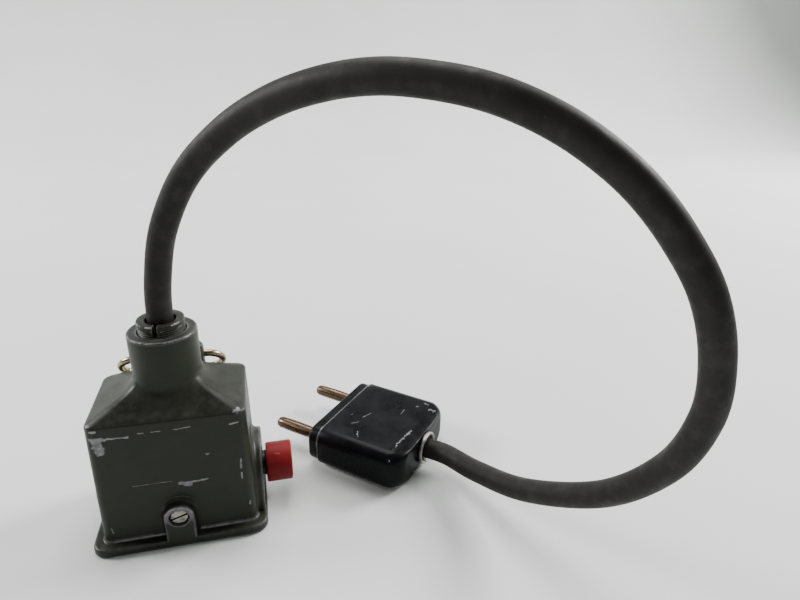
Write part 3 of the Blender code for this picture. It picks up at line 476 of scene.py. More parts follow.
TOP = PLUG_HEIGHT / 2
PLUG_MARKS = [
    (on_plug(36.8, -21.4, TOP - 2.4), on_plug(36.2, -17.0, TOP - 0.6), 0.45, 1.9),
    (on_plug(36.2, -15.6, TOP - 0.3), on_plug(36.0, -10.4, TOP), 0.4, 2.0),
    (on_plug(36.2, -9.8, TOP), on_plug(37.0, -3.0, TOP), 0.42, 2.0),
    (on_plug(15.4, -4.8, TOP), on_plug(16.8, -0.8, TOP), 0.2, 1.4),
    (on_plug(13.4, -10.6, TOP), on_plug(15.6, -8.4, TOP), 0.16, 1.4),
    (on_plug(18.6, -14.2, TOP), on_plug(20.6, -17.6, TOP - 0.4), 0.24, 1.5),
    (on_plug(28.2, 5.2, TOP), on_plug(28.0, 8.6, TOP), 0.16, 0.6),
    (on_plug(37.0, 14.0, TOP - 0.3), on_plug(39.2, 14.8, TOP - 0.7), 0.75, 2.4),
    (on_plug(33.8, 17.2, TOP - 0.2), on_plug(35.8, 16.4, TOP - 0.2), 0.5, 1.8),
    (on_plug(31.5, 13.2, TOP), on_plug(32.2, 13.6, TOP), 0.3, 0.8),
    (on_plug(5.0, 17.0, TOP - 0.1), on_plug(6.4, 18.2, TOP - 0.3), 0.4, 1.2),
    (on_plug(12.0, -22.2, 3.0), on_plug(13.2, -22.4, 1.8), 0.15, 0.6),
    (on_plug(10.0, -6.0, TOP), on_plug(10.8, -4.6, TOP), 0.12, 0.6),
]
BLACK_DARK = (0.0025, 0.0025, 0.003)
BLACK_LIGHT = (0.005, 0.005, 0.006)
CHIP_GREY = (0.22, 0.22, 0.24)
BLACK = painted("black_paint_chipped", BLACK_DARK, BLACK_LIGHT, CHIP_GREY, PLUG_MARKS, 0.30, (0.26, 0.38),
                0.08, radius=0.0012, dust=0.02)

# %% [markdown]
# ## Metals
# Turned steel shows fine rings from the tool; here they are left to a plain noise. The
# strap ring is zinc-plated wire whose yellow passivation drifts between straw and pink.
# The pins are brass that has darkened to bronze, and stays brighter where a socket rubs.


# %% Steel, zinc and brass
def metal(name, first, second, gloss, scale=(1.0, 1.0, 1.0), coarse=260.0, wear=0.30, bright=None):
    """Bare metal whose colour drifts between two tones, brighter on rubbed edges."""
    made, tree, shader = new_material(name)
    grain = use_group(tree, GRAIN, Scale=2600.0, Coarse=coarse)
    streaks = noise(tree, 900.0, 4.0, 0.6, stretch=scale)
    drift = maths(tree, "MULTIPLY", maths(tree, "ADD", streaks, grain["Patches"]), 0.5)
    edges = use_group(tree, WORN_EDGES, Radius=0.0006, Scale=900.0, Spread=wear)
    colour = mixed(tree, between(tree, drift, 0.3, 0.75), first, second)
    colour = mixed(tree, maths(tree, "MULTIPLY", edges["Rubbed"], 0.6), colour, bright or first)
    low, high = gloss
    feed(tree, shader, Base_Color=colour, Metallic=1.0,
         Roughness=between(tree, drift, 0.2, 0.8, low, high))
    bumped(tree, shader, maths(tree, "ADD", grain["Height"], streaks), 0.00003, 0.4)
    return made


STEEL = metal("turned_steel", (0.42, 0.41, 0.38), (0.22, 0.21, 0.19), (0.28, 0.5))
# The screws use a darker steel than the turned parts, lighter on their edges.
SCREW_STEEL = metal("dark_screw_steel", (0.26, 0.25, 0.22), (0.10, 0.095, 0.085), (0.34, 0.55),
                    coarse=520.0, bright=(0.4, 0.39, 0.36))
ZINC = metal("yellow_zinc_wire", (0.34, 0.29, 0.17), (0.30, 0.21, 0.17), (0.2, 0.36), coarse=220.0,
             bright=(0.42, 0.37, 0.27))
BRASS = metal("bronzed_brass", (0.125, 0.082, 0.048), (0.078, 0.05, 0.034), (0.24, 0.42), coarse=150.0,
              bright=(0.26, 0.18, 0.13))
print("metals:", STEEL.name, ZINC.name, BRASS.name)

# %% [markdown]
# ## Plastics and rubber
# The button is moulded in red plastic, dulled by thumbs, with pale scuffs. The rubber of
# the lead is matt; it has gone slightly brown and carries rubbed streaks along its length.


# %% Plastics
def moulded(name, dark, light, gloss, scuff=(0.3, 0.28, 0.28), wear=0.2, marks=(), dust=0.06,
            sheen=0.3):
    """Moulded plastic: a fine satin grain, slow colour drift and pale scuffed edges."""
    made, tree, shader = new_material(name)
    grain = use_group(tree, GRAIN, Scale=1800.0, Coarse=160.0)
    edges = use_group(tree, WORN_EDGES, Radius=0.0009, Scale=700.0, Spread=wear)
    colour = mixed(tree, grain["Patches"], dark, light)
    scuffed = maths(tree, "MULTIPLY", scratched(tree, marks, edges["Bare"]), 0.4)
    dusty = maths(tree, "MULTIPLY", use_group(tree, DUST, Scale=500.0)["Mask"], dust)
    colour = mixed(tree, maths(tree, "MAXIMUM", scuffed, dusty), colour, scuff)
    low, high = gloss
    rough = between(tree, grain["Patches"], 0.0, 1.0, low, high)
    feed(tree, shader, Base_Color=colour, Roughness=maths(tree, "ADD", rough, scuffed),
         Specular_IOR_Level=sheen)
    bumped(tree, shader, grain["Height"], 0.00004, 0.35)
    return made


BUTTON_MID = centre_of("push_button") / MM
BUTTON_MARKS = [
    (BUTTON_MID + Vector((-1.4, -3.6, 6.2)), BUTTON_MID + Vector((0.2, -3.9, 6.0)), 0.25, 0.7),
    (BUTTON_MID + Vector((2.4, -6.4, -3.0)), BUTTON_MID + Vector((3.0, -6.5, -3.4)), 0.25, 0.4),
    (BUTTON_MID + Vector((-3.0, -5.0, 4.6)), BUTTON_MID + Vector((-1.0, -5.2, 4.4)), 0.2, 0.4),
]
RED = moulded("red_button_plastic", (0.14, 0.006, 0.008), (0.18, 0.009, 0.011), (0.42, 0.54),
              scuff=(0.4, 0.16, 0.15), marks=BUTTON_MARKS, dust=0.02, sheen=0.12)
BLACK_PLASTIC = moulded("black_moulding", (0.008, 0.008, 0.009), (0.014, 0.014, 0.015), (0.36, 0.5))
BAKELITE = moulded("brown_bakelite", (0.040, 0.016, 0.009), (0.065, 0.028, 0.014), (0.3, 0.45))
CORE_RED = moulded("red_core_sleeve", (0.22, 0.012, 0.012), (0.30, 0.02, 0.018), (0.4, 0.5))
CORE_GREY = moulded("grey_core_sleeve", (0.19, 0.19, 0.19), (0.26, 0.26, 0.25), (0.4, 0.5))
print("plastics:", RED.name, BLACK_PLASTIC.name, BAKELITE.name)


# %% Rubber
def rubber():
    """Matt rubber with rubbed streaks, a faint bloom and a few specks."""
    made, tree, shader = new_material("lead_rubber")
    grain = use_group(tree, GRAIN, Scale=1700.0, Coarse=60.0)
    streaks = between(tree, noise(tree, 210.0, 5.0, 0.65), 0.42, 0.72)
    specks = between(tree, noise(tree, 1300.0, 2.0, 0.5), 0.76, 0.80)
    colour = mixed(tree, grain["Patches"], (0.007, 0.0062, 0.0055), (0.012, 0.0108, 0.0095))
    colour = mixed(tree, maths(tree, "MULTIPLY", streaks, 0.35), colour, (0.026, 0.023, 0.021))
    colour = mixed(tree, maths(tree, "MULTIPLY", specks, 0.3), colour, (0.12, 0.11, 0.10))
    feed(tree, shader, Base_Color=colour, Roughness=between(tree, streaks, 0.0, 1.0, 0.62, 0.5))
    feed(tree, shader, Specular_IOR_Level=0.2)
    bumped(tree, shader, maths(tree, "ADD", grain["Height"], streaks), 0.00005, 0.45)
    return made


RUBBER = rubber()
print("rubber:", RUBBER.name)

# %% [markdown]
# ## Tools for shapes
# Most parts here are turned on a lathe, cast in a mould, or pressed from a round form. The
# helpers follow those crafts: `turned` spins a profile, `sleeve` and `press` spin a plain
# tube and push each of its rings out to a section, and `arch` extrudes an arched boss.


# %% Finish a mesh
def finished(name, bm, finish, body, nodes=(), sharp=30.0):
    """Turn a bmesh into a shaded piece that rides on a body and stands for CAD nodes."""
    bmesh.ops.remove_doubles(bm, verts=bm.verts, dist=0.0005 * MM)
    bmesh.ops.recalc_face_normals(bm, faces=bm.faces)
    mesh = bpy.data.meshes.new(name)
    bm.to_mesh(mesh)
    bm.free()
    mesh.shade_smooth()
    mesh.set_sharp_from_angle(angle=radians(sharp))
    mesh.materials.append(finish)
    piece = bpy.data.objects.new(name, mesh)
    bpy.context.scene.collection.objects.link(piece)
    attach(piece, body)
    if nodes:
        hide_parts(*nodes)
    print(name, len(mesh.polygons), "faces")
    return piece


def boolean(bm, tools, operation):
    """Join closed bmesh tools to bm, or cut them from it, with an exact Boolean."""
    scene = bpy.context.scene.collection
    objects = []
    for label, source in [("base", bm)] + [("tool", tool) for tool in tools]:
        bmesh.ops.recalc_face_normals(source, faces=source.faces)
        mesh = bpy.data.meshes.new(label)
        source.to_mesh(mesh)
        source.free()
        objects.append(bpy.data.objects.new(label, mesh))
        scene.objects.link(objects[-1])
    for tool in objects[1:]:
        modifier = objects[0].modifiers.new("exact", "BOOLEAN")
        modifier.operation = operation
        modifier.object = tool
    bpy.context.view_layer.update()
    graph = bpy.context.evaluated_depsgraph_get()
    mesh = bpy.data.meshes.new_from_object(objects[0].evaluated_get(graph))
    result = bmesh.new()
    result.from_mesh(mesh)
    for done in objects:
        bpy.data.objects.remove(done)
    return result


# %% Turned parts
def turned(profile, steps, axis="Z", centre=(0, 0, 0), bevel=0.0, bevel_steps=2):
    """Spin a closed outline of (radius, height) points; sharp corners get a small bevel."""
    bm = bmesh.new()
    points = [bm.verts.new((r * MM, 0, h * MM)) for r, h in profile]
    loop = list(zip(points, points[1:] + points[:1]))
    edges = [bm.edges.new(pair) for pair in loop if not (pair[0].co.x == 0 and pair[1].co.x == 0)]
    bmesh.ops.spin(bm, geom=points + edges, cent=(0, 0, 0), axis=(0, 0, 1), dvec=(0, 0, 0),
                   angle=2 * pi, steps=steps, use_merge=True)
    bmesh.ops.remove_doubles(bm, verts=bm.verts, dist=0.0005 * MM)
    bmesh.ops.recalc_face_normals(bm, faces=bm.faces)
    if bevel:
        corners = [e for e in bm.edges if e.is_manifold and e.calc_face_angle() > radians(40)]
        bmesh.ops.bevel(bm, geom=corners, offset=bevel * MM, offset_type="OFFSET", affect="EDGES",
                        segments=bevel_steps, profile=0.5, material=-1)
    turns = {"X": Matrix.Rotation(pi / 2, 4, "Y"), "Y": Matrix.Rotation(-pi / 2, 4, "X"),
             "-Y": Matrix.Rotation(pi / 2, 4, "X"), "-X": Matrix.Rotation(-pi / 2, 4, "Y"),
             "Z": Matrix.Identity(4)}
    bmesh.ops.transform(bm, matrix=Matrix.Translation(Vector(centre) * MM) @ turns[axis], verts=bm.verts)
    return bm


# %% Extruded parts
def extruded(bm, face, keep=False):
    """Extrude one face; gives the new face and its corners, and drops the old face."""
    made = bmesh.ops.extrude_face_region(bm, geom=[face])["geom"]
    if not keep:
        bmesh.ops.delete(bm, geom=[face], context="FACES_ONLY")
    corners = [g for g in made if isinstance(g, bmesh.types.BMVert)]
    return next(g for g in made if isinstance(g, bmesh.types.BMFace)), corners


# %% Blocks
def block(low, high, bevel=0.0, steps=3):
    """A box between two corners in millimetres, with rounded edges if asked."""
    bm = bmesh.new()
    bmesh.ops.create_cube(bm, size=1.0)
    bmesh.ops.scale(bm, vec=(Vector(high) - Vector(low)) * MM, verts=bm.verts)
    bmesh.ops.translate(bm, vec=(Vector(high) + Vector(low)) / 2 * MM, verts=bm.verts)
    if bevel:
        bmesh.ops.bevel(bm, geom=bm.edges[:], offset=bevel * MM, offset_type="OFFSET", affect="EDGES",
                        segments=steps, profile=0.5, material=-1)
    return bm


# %% Pressed forms
def sleeve(rings, sides):
    """A spun tube whose rings lie one unit apart, so that height names the ring."""
    bm = bmesh.new()
    points = [bm.verts.new((1.0, 0.0, float(k))) for k in range(rings)]
    edges = [bm.edges.new(pair) for pair in zip(points, points[1:])]
    bmesh.ops.spin(bm, geom=points + edges, cent=(0, 0, 0), axis=(0, 0, 1), dvec=(0, 0, 0),
                   angle=2 * pi, steps=sides, use_merge=True)
    return bm


def press(sections, directions, ends="joined"):
    """Push each ring of a sleeve out to its section; join its two ends, or cap them."""
    sides = len(directions)
    bm = sleeve(len(sections), sides)
    for vert in bm.verts:
        step = round(atan2(vert.co.y, vert.co.x) / (2 * pi) * sides) % sides
        vert.co = sections[round(vert.co.z)](directions[step]) * MM
    rims = [e for e in bm.edges if e.is_boundary]
    if ends == "joined":
        bmesh.ops.bridge_loops(bm, edges=rims)
    else:
        bmesh.ops.holes_fill(bm, edges=rims, sides=0)
    return bm


def box_radius(angle, half_x, half_y, corner):
    """Distance from the middle of a rounded box to its side, in one direction."""
    c, s = abs(cos(angle)), abs(sin(angle))
    if c * half_y <= s * (half_x - corner):
        return half_y / s
    if s * half_x <= c * (half_y - corner):
        return half_x / c
    a, b = half_x - corner, half_y - corner
    reach = a * c + b * s
    return reach + sqrt(max(reach * reach - (a * a + b * b - corner * corner), 0.0))


def box_directions(half_x, half_y, corner, side_steps, corner_steps, end_steps):
    """Directions round a rounded box, closest together at its corners."""
    turns = [pi / 2 * k / corner_steps for k in range(corner_steps + 1)]
    turns = [atan2(half_y - corner + corner * sin(t), half_x - corner + corner * cos(t)) for t in turns]
    quarter = [turns[0] * k / side_steps for k in range(side_steps)] + turns
    quarter += [turns[-1] + (pi / 2 - turns[-1]) * (k + 1) / end_steps for k in range(end_steps)]
    half = quarter + [pi - a for a in reversed(quarter[:-1])]
    return half[:-1] + [pi + a for a in half[:-1]]


def larger(a, b, width):
    """The larger of two numbers, rounded off where they are nearly equal."""
    share = max(width - abs(a - b), 0.0) / width
    return max(a, b) + share * share * width / 4


def smaller(a, b, width):
    """The smaller of two numbers, rounded off where they are nearly equal."""
    return -larger(-a, -b, width)


def level(height, radius_at):
    """A flat section at a height, from a radius for each direction."""
    return lambda a: Vector((radius_at(a) * cos(a), radius_at(a) * sin(a), height))


print("shape tools ready")

# %% [markdown]
# ## The lead
# The lead is one fixed length of stiff 8 mm rubber cable. It rises straight out of the
# gland, carries its own weight in a free arch, comes down to the floor and runs level into
# the plug. A curve through a few listed points gives the same fair arch that the
# imported model has, and a tube is drawn along it.

# %% Lead
LEAD_ROUTE = [
    (0, 0, 58), (0, 0, 76), (1.2, -0.5, 89), (5, -2, 105), (13.5, -7.5, 121.5),
    (25, -16, 134), (37, -27, 142.5), (49, -38, 147.5), (60, -47, 149.5),
    (71, -54.5, 149), (81, -61, 147), (91, -66.5, 143), (100, -71.5, 137.5),
    (109, -76, 130), (117.5, -80, 120), (125, -83.5, 108), (130.5, -85, 93),
    (133.5, -84, 75.5), (132.5, -77.5, 55.5), (126, -63, 35), (115, -39.5, 18),
    (106, -18.5, 10.3), (98.9, -4.8, 8.5), (92.9, 1.2, 8.25), (88.4, 5.2, 8.25),
]
LEAD_DIAMETER = 8.0
LEAD_RINGS = 200


def fair_points(route, count):
    """Evenly spaced points on a smooth curve through the route's own points."""
    knots = [Vector(p) for p in route]
    knots = [2 * knots[0] - knots[1], *knots, 2 * knots[-1] - knots[-2]]
    fine = []
    for a, b, c, d in zip(knots, knots[1:], knots[2:], knots[3:]):
        for k in range(40):
            t = k / 40
            fine.append(0.5 * (2 * b + (c - a) * t + (2 * a - 5 * b + 4 * c - d) * t ** 2
                               + (3 * b - a - 3 * c + d) * t ** 3))
    fine.append(knots[-2])
    run = [0.0]
    for a, b in zip(fine, fine[1:]):
        run.append(run[-1] + (b - a).length)
    points, i = [], 1
    for k in range(count):
        wanted = run[-1] * k / (count - 1)
        while i < len(fine) - 1 and run[i] < wanted:
            i += 1
        points.append(fine[i - 1].lerp(fine[i], (wanted - run[i - 1]) / (run[i] - run[i - 1])))
    return points, run[-1]


def drawn_tube(points, radius, sides):
    """A round tube drawn along points: a circle is extruded from one point to the next."""
    bm = bmesh.new()
    made = bmesh.ops.create_circle(bm, cap_ends=True, segments=sides, radius=radius * MM)
    heading = (points[1] - points[0]).normalized()
    aim = Vector((0, 0, 1)).rotation_difference(heading).to_matrix()
    bmesh.ops.rotate(bm, cent=(0, 0, 0), matrix=aim, verts=made["verts"])
    bmesh.ops.translate(bm, vec=points[0] * MM, verts=made["verts"])
    face = bm.faces[:][0]
    for k in range(1, len(points)):
        face, verts = extruded(bm, face, keep=(k == 1))
        bmesh.ops.translate(bm, vec=(points[k] - points[k - 1]) * MM, verts=verts)
        after = points[min(k + 1, len(points) - 1)] - points[k - 1]
        bend = heading.rotation_difference(after.normalized()).to_matrix()
        bmesh.ops.rotate(bm, cent=points[k] * MM, matrix=bend, verts=verts)
        heading = after.normalized()
    return bm


LEAD_POINTS, LEAD_LENGTH = fair_points(LEAD_ROUTE, LEAD_RINGS)
lead = finished("lead", drawn_tube(LEAD_POINTS, LEAD_DIAMETER / 2, 40), RUBBER, "case", ["cable"])
print("lead length in mm:", round(LEAD_LENGTH, 1))

# %% [markdown]
# ## The cast box
# The casting is one thin shell: a flange, four slightly leaning walls, a low pyramid roof
# and a round neck that flows out of it. A plain spun tube is pressed out to a section at
# each height, outside first and then back down the inside, so the wall has its real
# thickness. Where roof and neck meet, the larger of the two radii wins, softly, and that
# soft hand-over is the fillet of the casting.

# %% Box shell
FLANGE_X, FLANGE_Y = (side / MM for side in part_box("housing")[1].xy)
NECK_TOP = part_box("housing")[1].z / MM
FLANGE_TOP, FLANGE_CORNER = 3.0, 5.0
WALL_CORNER, APEX_Z = 3.2, 59.7
NECK_RADIUS, NECK_FILLET = 10.7, 6.0
GLAND_BORE, GLAND_SEAT, LEAD_BORE = 7.45, 60.0, 4.4
CAVITY_TOP, CAVITY_APEX, THROAT = 46.0, 56.3, 7.0
REBATE_X, REBATE_Y, REBATE_Z = 24.0, 16.5, 3.9


def wall(a, z, inset=0.0):
    """Outside of the leaning wall."""
    share = z / EAVES_Z
    x = FOOT_X + (EAVES_X - FOOT_X) * share - inset
    y = FOOT_Y + (EAVES_Y - FOOT_Y) * share - inset
    return box_radius(a, x, y, WALL_CORNER - inset)


def outside(a, z):
    """Wall, roof and neck in one, with soft eaves and a soft fillet."""
    roof = box_radius(a, EAVES_X, EAVES_Y, WALL_CORNER) * max(APEX_Z - z, 0.0) / (APEX_Z - EAVES_Z)
    return larger(smaller(wall(a, z), roof, 1.1), NECK_RADIUS, NECK_FILLET)


def inside(a, z):
    """The hollow, which follows the outside about 3 mm in."""
    share = z / CAVITY_TOP
    room = box_radius(a, 21.5 - 0.9 * share, 14.0 - 0.8 * share, 2.0)
    if z <= CAVITY_TOP:
        return room
    roof = box_radius(a, 20.6, 13.2, 2.0) * (CAVITY_APEX - z) / (CAVITY_APEX - CAVITY_TOP)
    return larger(roof, THROAT, 1.5)


def quarter_round(steps):
    """Sine and cosine pairs from 0 to 90 degrees."""
    return [(sin(pi / 2 * k / steps), cos(pi / 2 * k / steps)) for k in range(steps + 1)]


def box_sections():
    """Every ring of the shell, up the outside and down the inside."""
    rings = []

    def flange(inset):
        return lambda a: box_radius(a, FLANGE_X - inset, FLANGE_Y - inset, FLANGE_CORNER - inset)

    for s, c in quarter_round(4):
        rings.append(level(0.5 * (1 - c), flange(0.5 * (1 - s))))
    for s, c in quarter_round(6):
        rings.append(level(FLANGE_TOP - 0.9 * (1 - s), flange(0.9 * (1 - c))))
    for s, c in quarter_round(6):
        rings.append(level(FLANGE_TOP + 0.9 * (1 - c), lambda a, out=0.9 * (1 - s): wall(a, 3.0, -out)))
    heights = [6 + 4.4 * k for k in range(10)]
    heights += [46.3 + 0.22 * k for k in range(14)]
    heights += [49.5 + 0.45 * k for k in range(42)]
    for z in heights:
        rings.append(level(z, lambda a, z=z: outside(a, z)))
    for s, c in quarter_round(5):
        rings.append(level(NECK_TOP - 0.6 * (1 - s), lambda a, r=NECK_RADIUS - 0.6 * (1 - c): r))
    for r, z in ((GLAND_BORE + 0.2, NECK_TOP), (GLAND_BORE, NECK_TOP - 0.2),
                 (GLAND_BORE, GLAND_SEAT), (LEAD_BORE, GLAND_SEAT), (LEAD_BORE, CAVITY_APEX + 0.7),
                 (THROAT, CAVITY_APEX)):
        rings.append(level(z, lambda a, r=r: r))
    for k in range(9):
        z = CAVITY_APEX - 2 - k * (CAVITY_APEX - CAVITY_TOP - 2) / 8
        rings.append(level(z, lambda a, z=z: inside(a, z)))
    for z in (30.0, 15.0, REBATE_Z):
        rings.append(level(z, lambda a, z=z: inside(a, z)))
    for z in (REBATE_Z, 0.0):
        rings.append(level(z, lambda a: box_radius(a, REBATE_X, REBATE_Y, 2.4)))
    return rings


BOX_DIRECTIONS = box_directions(EAVES_X, EAVES_Y, WALL_CORNER, 14, 12, 18)
box_shell = press(box_sections(), BOX_DIRECTIONS)
print("shell rings of", len(BOX_DIRECTIONS), "points, faces:", len(box_shell.faces))

# %% [markdown]
# Three arched bosses take the cover screws, and a larger arch on the right carries the
# button. A casting has no sharp inner corners, so each arch starts a little wider at the
# wall and draws in. A circle whose lower half is pulled straight down makes the arch.


# %% Arched bosses
def arch(radius, middle, root, face, side):
    """An arched boss from root to face, measured from the centre line, on one side."""
    bm = bmesh.new()
    bmesh.ops.create_circle(bm, cap_ends=True, segments=64, radius=radius * MM)
    for vert in bm.verts:
        if vert.co.y < -0.01 * MM:
            vert.co.y = -(middle - 0.4) * MM
    steps = [(root, 1.4), (root + 0.35, 0.8), (root + 0.7, 0.4), (root + 1.15, 0.12), (root + 1.7, 0.0)]
    steps += [(face - 0.5 * (1 - s), -0.5 * (1 - c)) for s, c in quarter_round(5)]
    bmesh.ops.translate(bm, vec=(0, 0, (root - 1.2) * MM), verts=bm.verts)
    depth, grown_by, top = root - 1.2, 0.0, bm.faces[:][0]
    for wanted, grow in steps:
        top, verts = extruded(bm, top, keep=(wanted == root))
        ratio = (radius + grow) / (radius + grown_by)
        bmesh.ops.translate(bm, vec=(0, 0, (wanted - depth) * MM), verts=verts)
        for vert in verts:
            vert.co.x *= ratio
            if vert.co.y > -0.01 * MM:
                vert.co.y *= ratio
        depth, grown_by = wanted, grow
    upright = Matrix.Rotation(pi / 2, 4, "X")
    spin = {"front": 0.0, "right": pi / 2, "back": pi, "left": -pi / 2}[side]
    move = Matrix.Translation((0, 0, middle * MM)) @ Matrix.Rotation(spin, 4, "Z") @ upright
    bmesh.ops.transform(bm, matrix=move, verts=bm.verts)
    return bm


SCREW_Z = centre_of("cover_screw_front").z / MM
BUTTON_Z = centre_of("push_button").z / MM
BOSS_RADIUS, PAD_RADIUS, PAD_FACE = 4.9, 13.4, 27.6
bosses = [
    arch(BOSS_RADIUS, SCREW_Z, FOOT_Y - 0.35, FLANGE_Y - 0.05, "front"),
    arch(BOSS_RADIUS, SCREW_Z, FOOT_Y - 0.35, FLANGE_Y - 0.05, "back"),
    arch(BOSS_RADIUS, SCREW_Z, FOOT_X - 0.35, FLANGE_X - 0.05, "left"),
    arch(PAD_RADIUS, BUTTON_Z, FOOT_X - 0.45, PAD_FACE, "right"),
]
print("bosses:", len(bosses))

# %% [markdown]
# The strap ring turns in an ear behind the neck. The ear is one outline, seen from the
# side, extruded across the roof and then rounded at both ends with a bevel.


# %% Ear
EAR_HALF, EAR_ROUND = 10.4, 2.3


def ear():
    """The ear's side outline, extruded along X, with rounded ends."""
    bm = bmesh.new()
    outline = [(8.6, 50.5), (15.7, 46.4), (16.2, 50.0), (16.2, 55.8), (15.7, 57.8), (14.6, 59.3),
               (13.1, 60.2), (11.4, 60.5), (8.6, 60.5)]
    points = [bm.verts.new((-EAR_HALF * MM, y * MM, z * MM)) for y, z in outline]
    face = bm.faces.new(points)
    verts = extruded(bm, face, keep=True)[1]
    bmesh.ops.translate(bm, vec=(2 * EAR_HALF * MM, 0, 0), verts=verts)
    bmesh.ops.recalc_face_normals(bm, faces=bm.faces)
    ends = [e for e in bm.edges if e.is_manifold and e.calc_face_angle() > radians(60)
            and abs(e.verts[0].co.x - e.verts[1].co.x) < 0.01 * MM]
    bmesh.ops.bevel(bm, geom=ends, offset=EAR_ROUND * MM, offset_type="OFFSET", affect="EDGES",
                    segments=6, profile=0.5, material=-1, clamp_overlap=True)
    return bm


solid_box = boolean(box_shell, bosses + [ear()], "UNION")
print("joined faces:", len(solid_box.faces))

# %% [markdown]
# The holes come last, as they do in the workshop: three counterbores for the cover screws,
# one stepped hole for the button's bush, and one through the ear for the wire.

# %% Drilled box
RING_AXIS_Y, RING_AXIS_Z, WIRE_RADIUS = 13.4, 54.6, 1.25
HEAD_SEAT = 2.95


def counterbore(side, face):
    """A stepped drill for a cover screw, with a small countersink at its mouth."""
    profile = [(0, 10), (1.7, 10), (1.7, face - HEAD_SEAT), (3.1, face - HEAD_SEAT), (3.1, face - 0.3),
               (3.5, face + 0.1), (3.5, face + 2), (0, face + 2)]
    return turned(profile, 48, side, (0, 0, SCREW_Z))


drills = [counterbore("-Y", FLANGE_Y), counterbore("Y", FLANGE_Y), counterbore("-X", FLANGE_X)]
drills.append(turned([(0, 15), (4.8, 15), (4.8, PAD_FACE - 1.1), (6.3, PAD_FACE - 1.1),
                      (6.3, PAD_FACE - 0.2), (6.6, PAD_FACE + 0.1), (6.6, 30), (0, 30)], 64, "X",
                     (0, 0, BUTTON_Z)))
drills.append(turned([(0, -12), (WIRE_RADIUS + 0.3, -12), (WIRE_RADIUS + 0.3, 12), (0, 12)], 32, "X",
                     (0, RING_AXIS_Y, RING_AXIS_Z)))
finished("case_casting", boolean(solid_box, drills, "DIFFERENCE"), OLIVE, "case",
         ["housing"], sharp=28.0)

# %% [markdown]
# ## Cover screws
# Three slotted cheese-head screws hold the cover from the front, the back and the left.
# Each is turned, its rim eased by a small bevel, and its slot sawn with a Boolean. A
# screwdriver never leaves three slots at the same angle, so each has its own turn.


# %% Screws
def slotted_screw(name, node, side, slot_turn):
    """A cheese-head screw that fills its CAD node's place."""
    low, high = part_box(node)
    inner, outer = {"-Y": (-high.y, -low.y), "Y": (low.y, high.y), "-X": (-high.x, -low.x)}[side]
    tip, out = inner / MM, outer / MM
    head = out - 1.9
    profile = [(0, tip), (1.1, tip), (1.5, tip + 0.5), (1.5, head), (2.75, head), (2.75, out), (0, out)]
    screw = turned(profile, 56, bevel=0.22, bevel_steps=3)
    slot = block((-4, -0.4, out - 0.95), (4, 0.4, out + 1), bevel=0.05, steps=1)
    bmesh.ops.rotate(slot, cent=(0, 0, 0), matrix=Matrix.Rotation(slot_turn, 3, "Z"), verts=slot.verts)
    screw = boolean(screw, [slot], "DIFFERENCE")
    aim = {"-Y": Matrix.Rotation(pi / 2, 4, "X"), "Y": Matrix.Rotation(-pi / 2, 4, "X"),
           "-X": Matrix.Rotation(-pi / 2, 4, "Y")}[side]
    bmesh.ops.transform(screw, matrix=Matrix.Translation((0, 0, SCREW_Z * MM)) @ aim, verts=screw.verts)
    return finished(name, screw, SCREW_STEEL, "case", [node])


slotted_screw("screw_front", "cover_screw_front", "-Y", radians(18))
slotted_screw("screw_back", "cover_screw_back", "Y", radians(34))
slotted_screw("screw_left", "cover_screw_left", "-X", radians(-50))

# %% [markdown]
# ## Gland nut
# The nut squeezes a rubber seal round the lead. It is a short threaded tube with a plain
# band at its top and one screwdriver slot right across. The band's edges and the first
# turns of thread stand in the open, so the profile really has the thread's grooves.

# %% Nut
NUT_LOW, NUT_HIGH = (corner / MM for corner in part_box("gland_nut"))
NUT_RADIUS, NUT_BAND, THREAD_PITCH, THREAD_DEPTH = 7.3, 1.9, 0.75, 0.4
NUT_SLOT_TURN = radians(-8)


def gland_nut():
    """A tube with grooves outside, spun, with a slot sawn across."""
    top, foot = NUT_HIGH.z, NUT_LOW.z
    profile = [(4.6, foot), (NUT_RADIUS - 0.8, foot)]
    turns = int((top - NUT_BAND - foot - 0.4) / THREAD_PITCH)
    for k in range(turns):
        z = foot + 0.4 + k * THREAD_PITCH
        profile += [(NUT_RADIUS - 0.15 - THREAD_DEPTH, z), (NUT_RADIUS - 0.15, z + 0.32),
                    (NUT_RADIUS - 0.15, z + 0.46)]
    under = top - NUT_BAND
    profile += [(NUT_RADIUS - 0.6, under - 0.02), (NUT_RADIUS - 0.6, under), (NUT_RADIUS - 0.2, under),
                (NUT_RADIUS, under + 0.2), (NUT_RADIUS, top - 0.35), (NUT_RADIUS - 0.1, top - 0.1),
                (NUT_RADIUS - 0.4, top), (5.3, top), (4.8, top - 0.2), (4.6, top - 0.7)]
    nut = turned(profile, 96)
    slot = block((-0.7, -12, top - 3.6), (0.7, 12, top + 2), bevel=0.08, steps=1)
    bmesh.ops.rotate(slot, cent=(0, 0, 0), matrix=Matrix.Rotation(NUT_SLOT_TURN, 3, "Z"), verts=slot.verts)
    return boolean(nut, [slot], "DIFFERENCE")


NUT_RIMS = [((0, 0, 73.75), (0, 0, 1), 7.25, 0.35, 0.47), ((0, 0, 75.3), (0, 0, 1), 7.15, 0.35, 0.5)]
NUT_PAINT = painted("olive_paint_on_thread", OLIVE_DARK, OLIVE_LIGHT, (0.32, 0.31, 0.28), [], 0.06,
                    (0.38, 0.5), 0.2, radius=0.0005, rims=NUT_RIMS)
finished("gland_nut_turned", gland_nut(), NUT_PAINT, "case", ["gland_nut"], sharp=24.0)

# %% [markdown]
# ## Strap ring
# The ring is one wire bent into a flat loop. A circle of the wire's thickness is extruded
# along the first straight, spun round the bend, extruded back and spun again, just as the
# wire is bent round two pegs. It hangs a little clear of the roof, at the frame's angle.

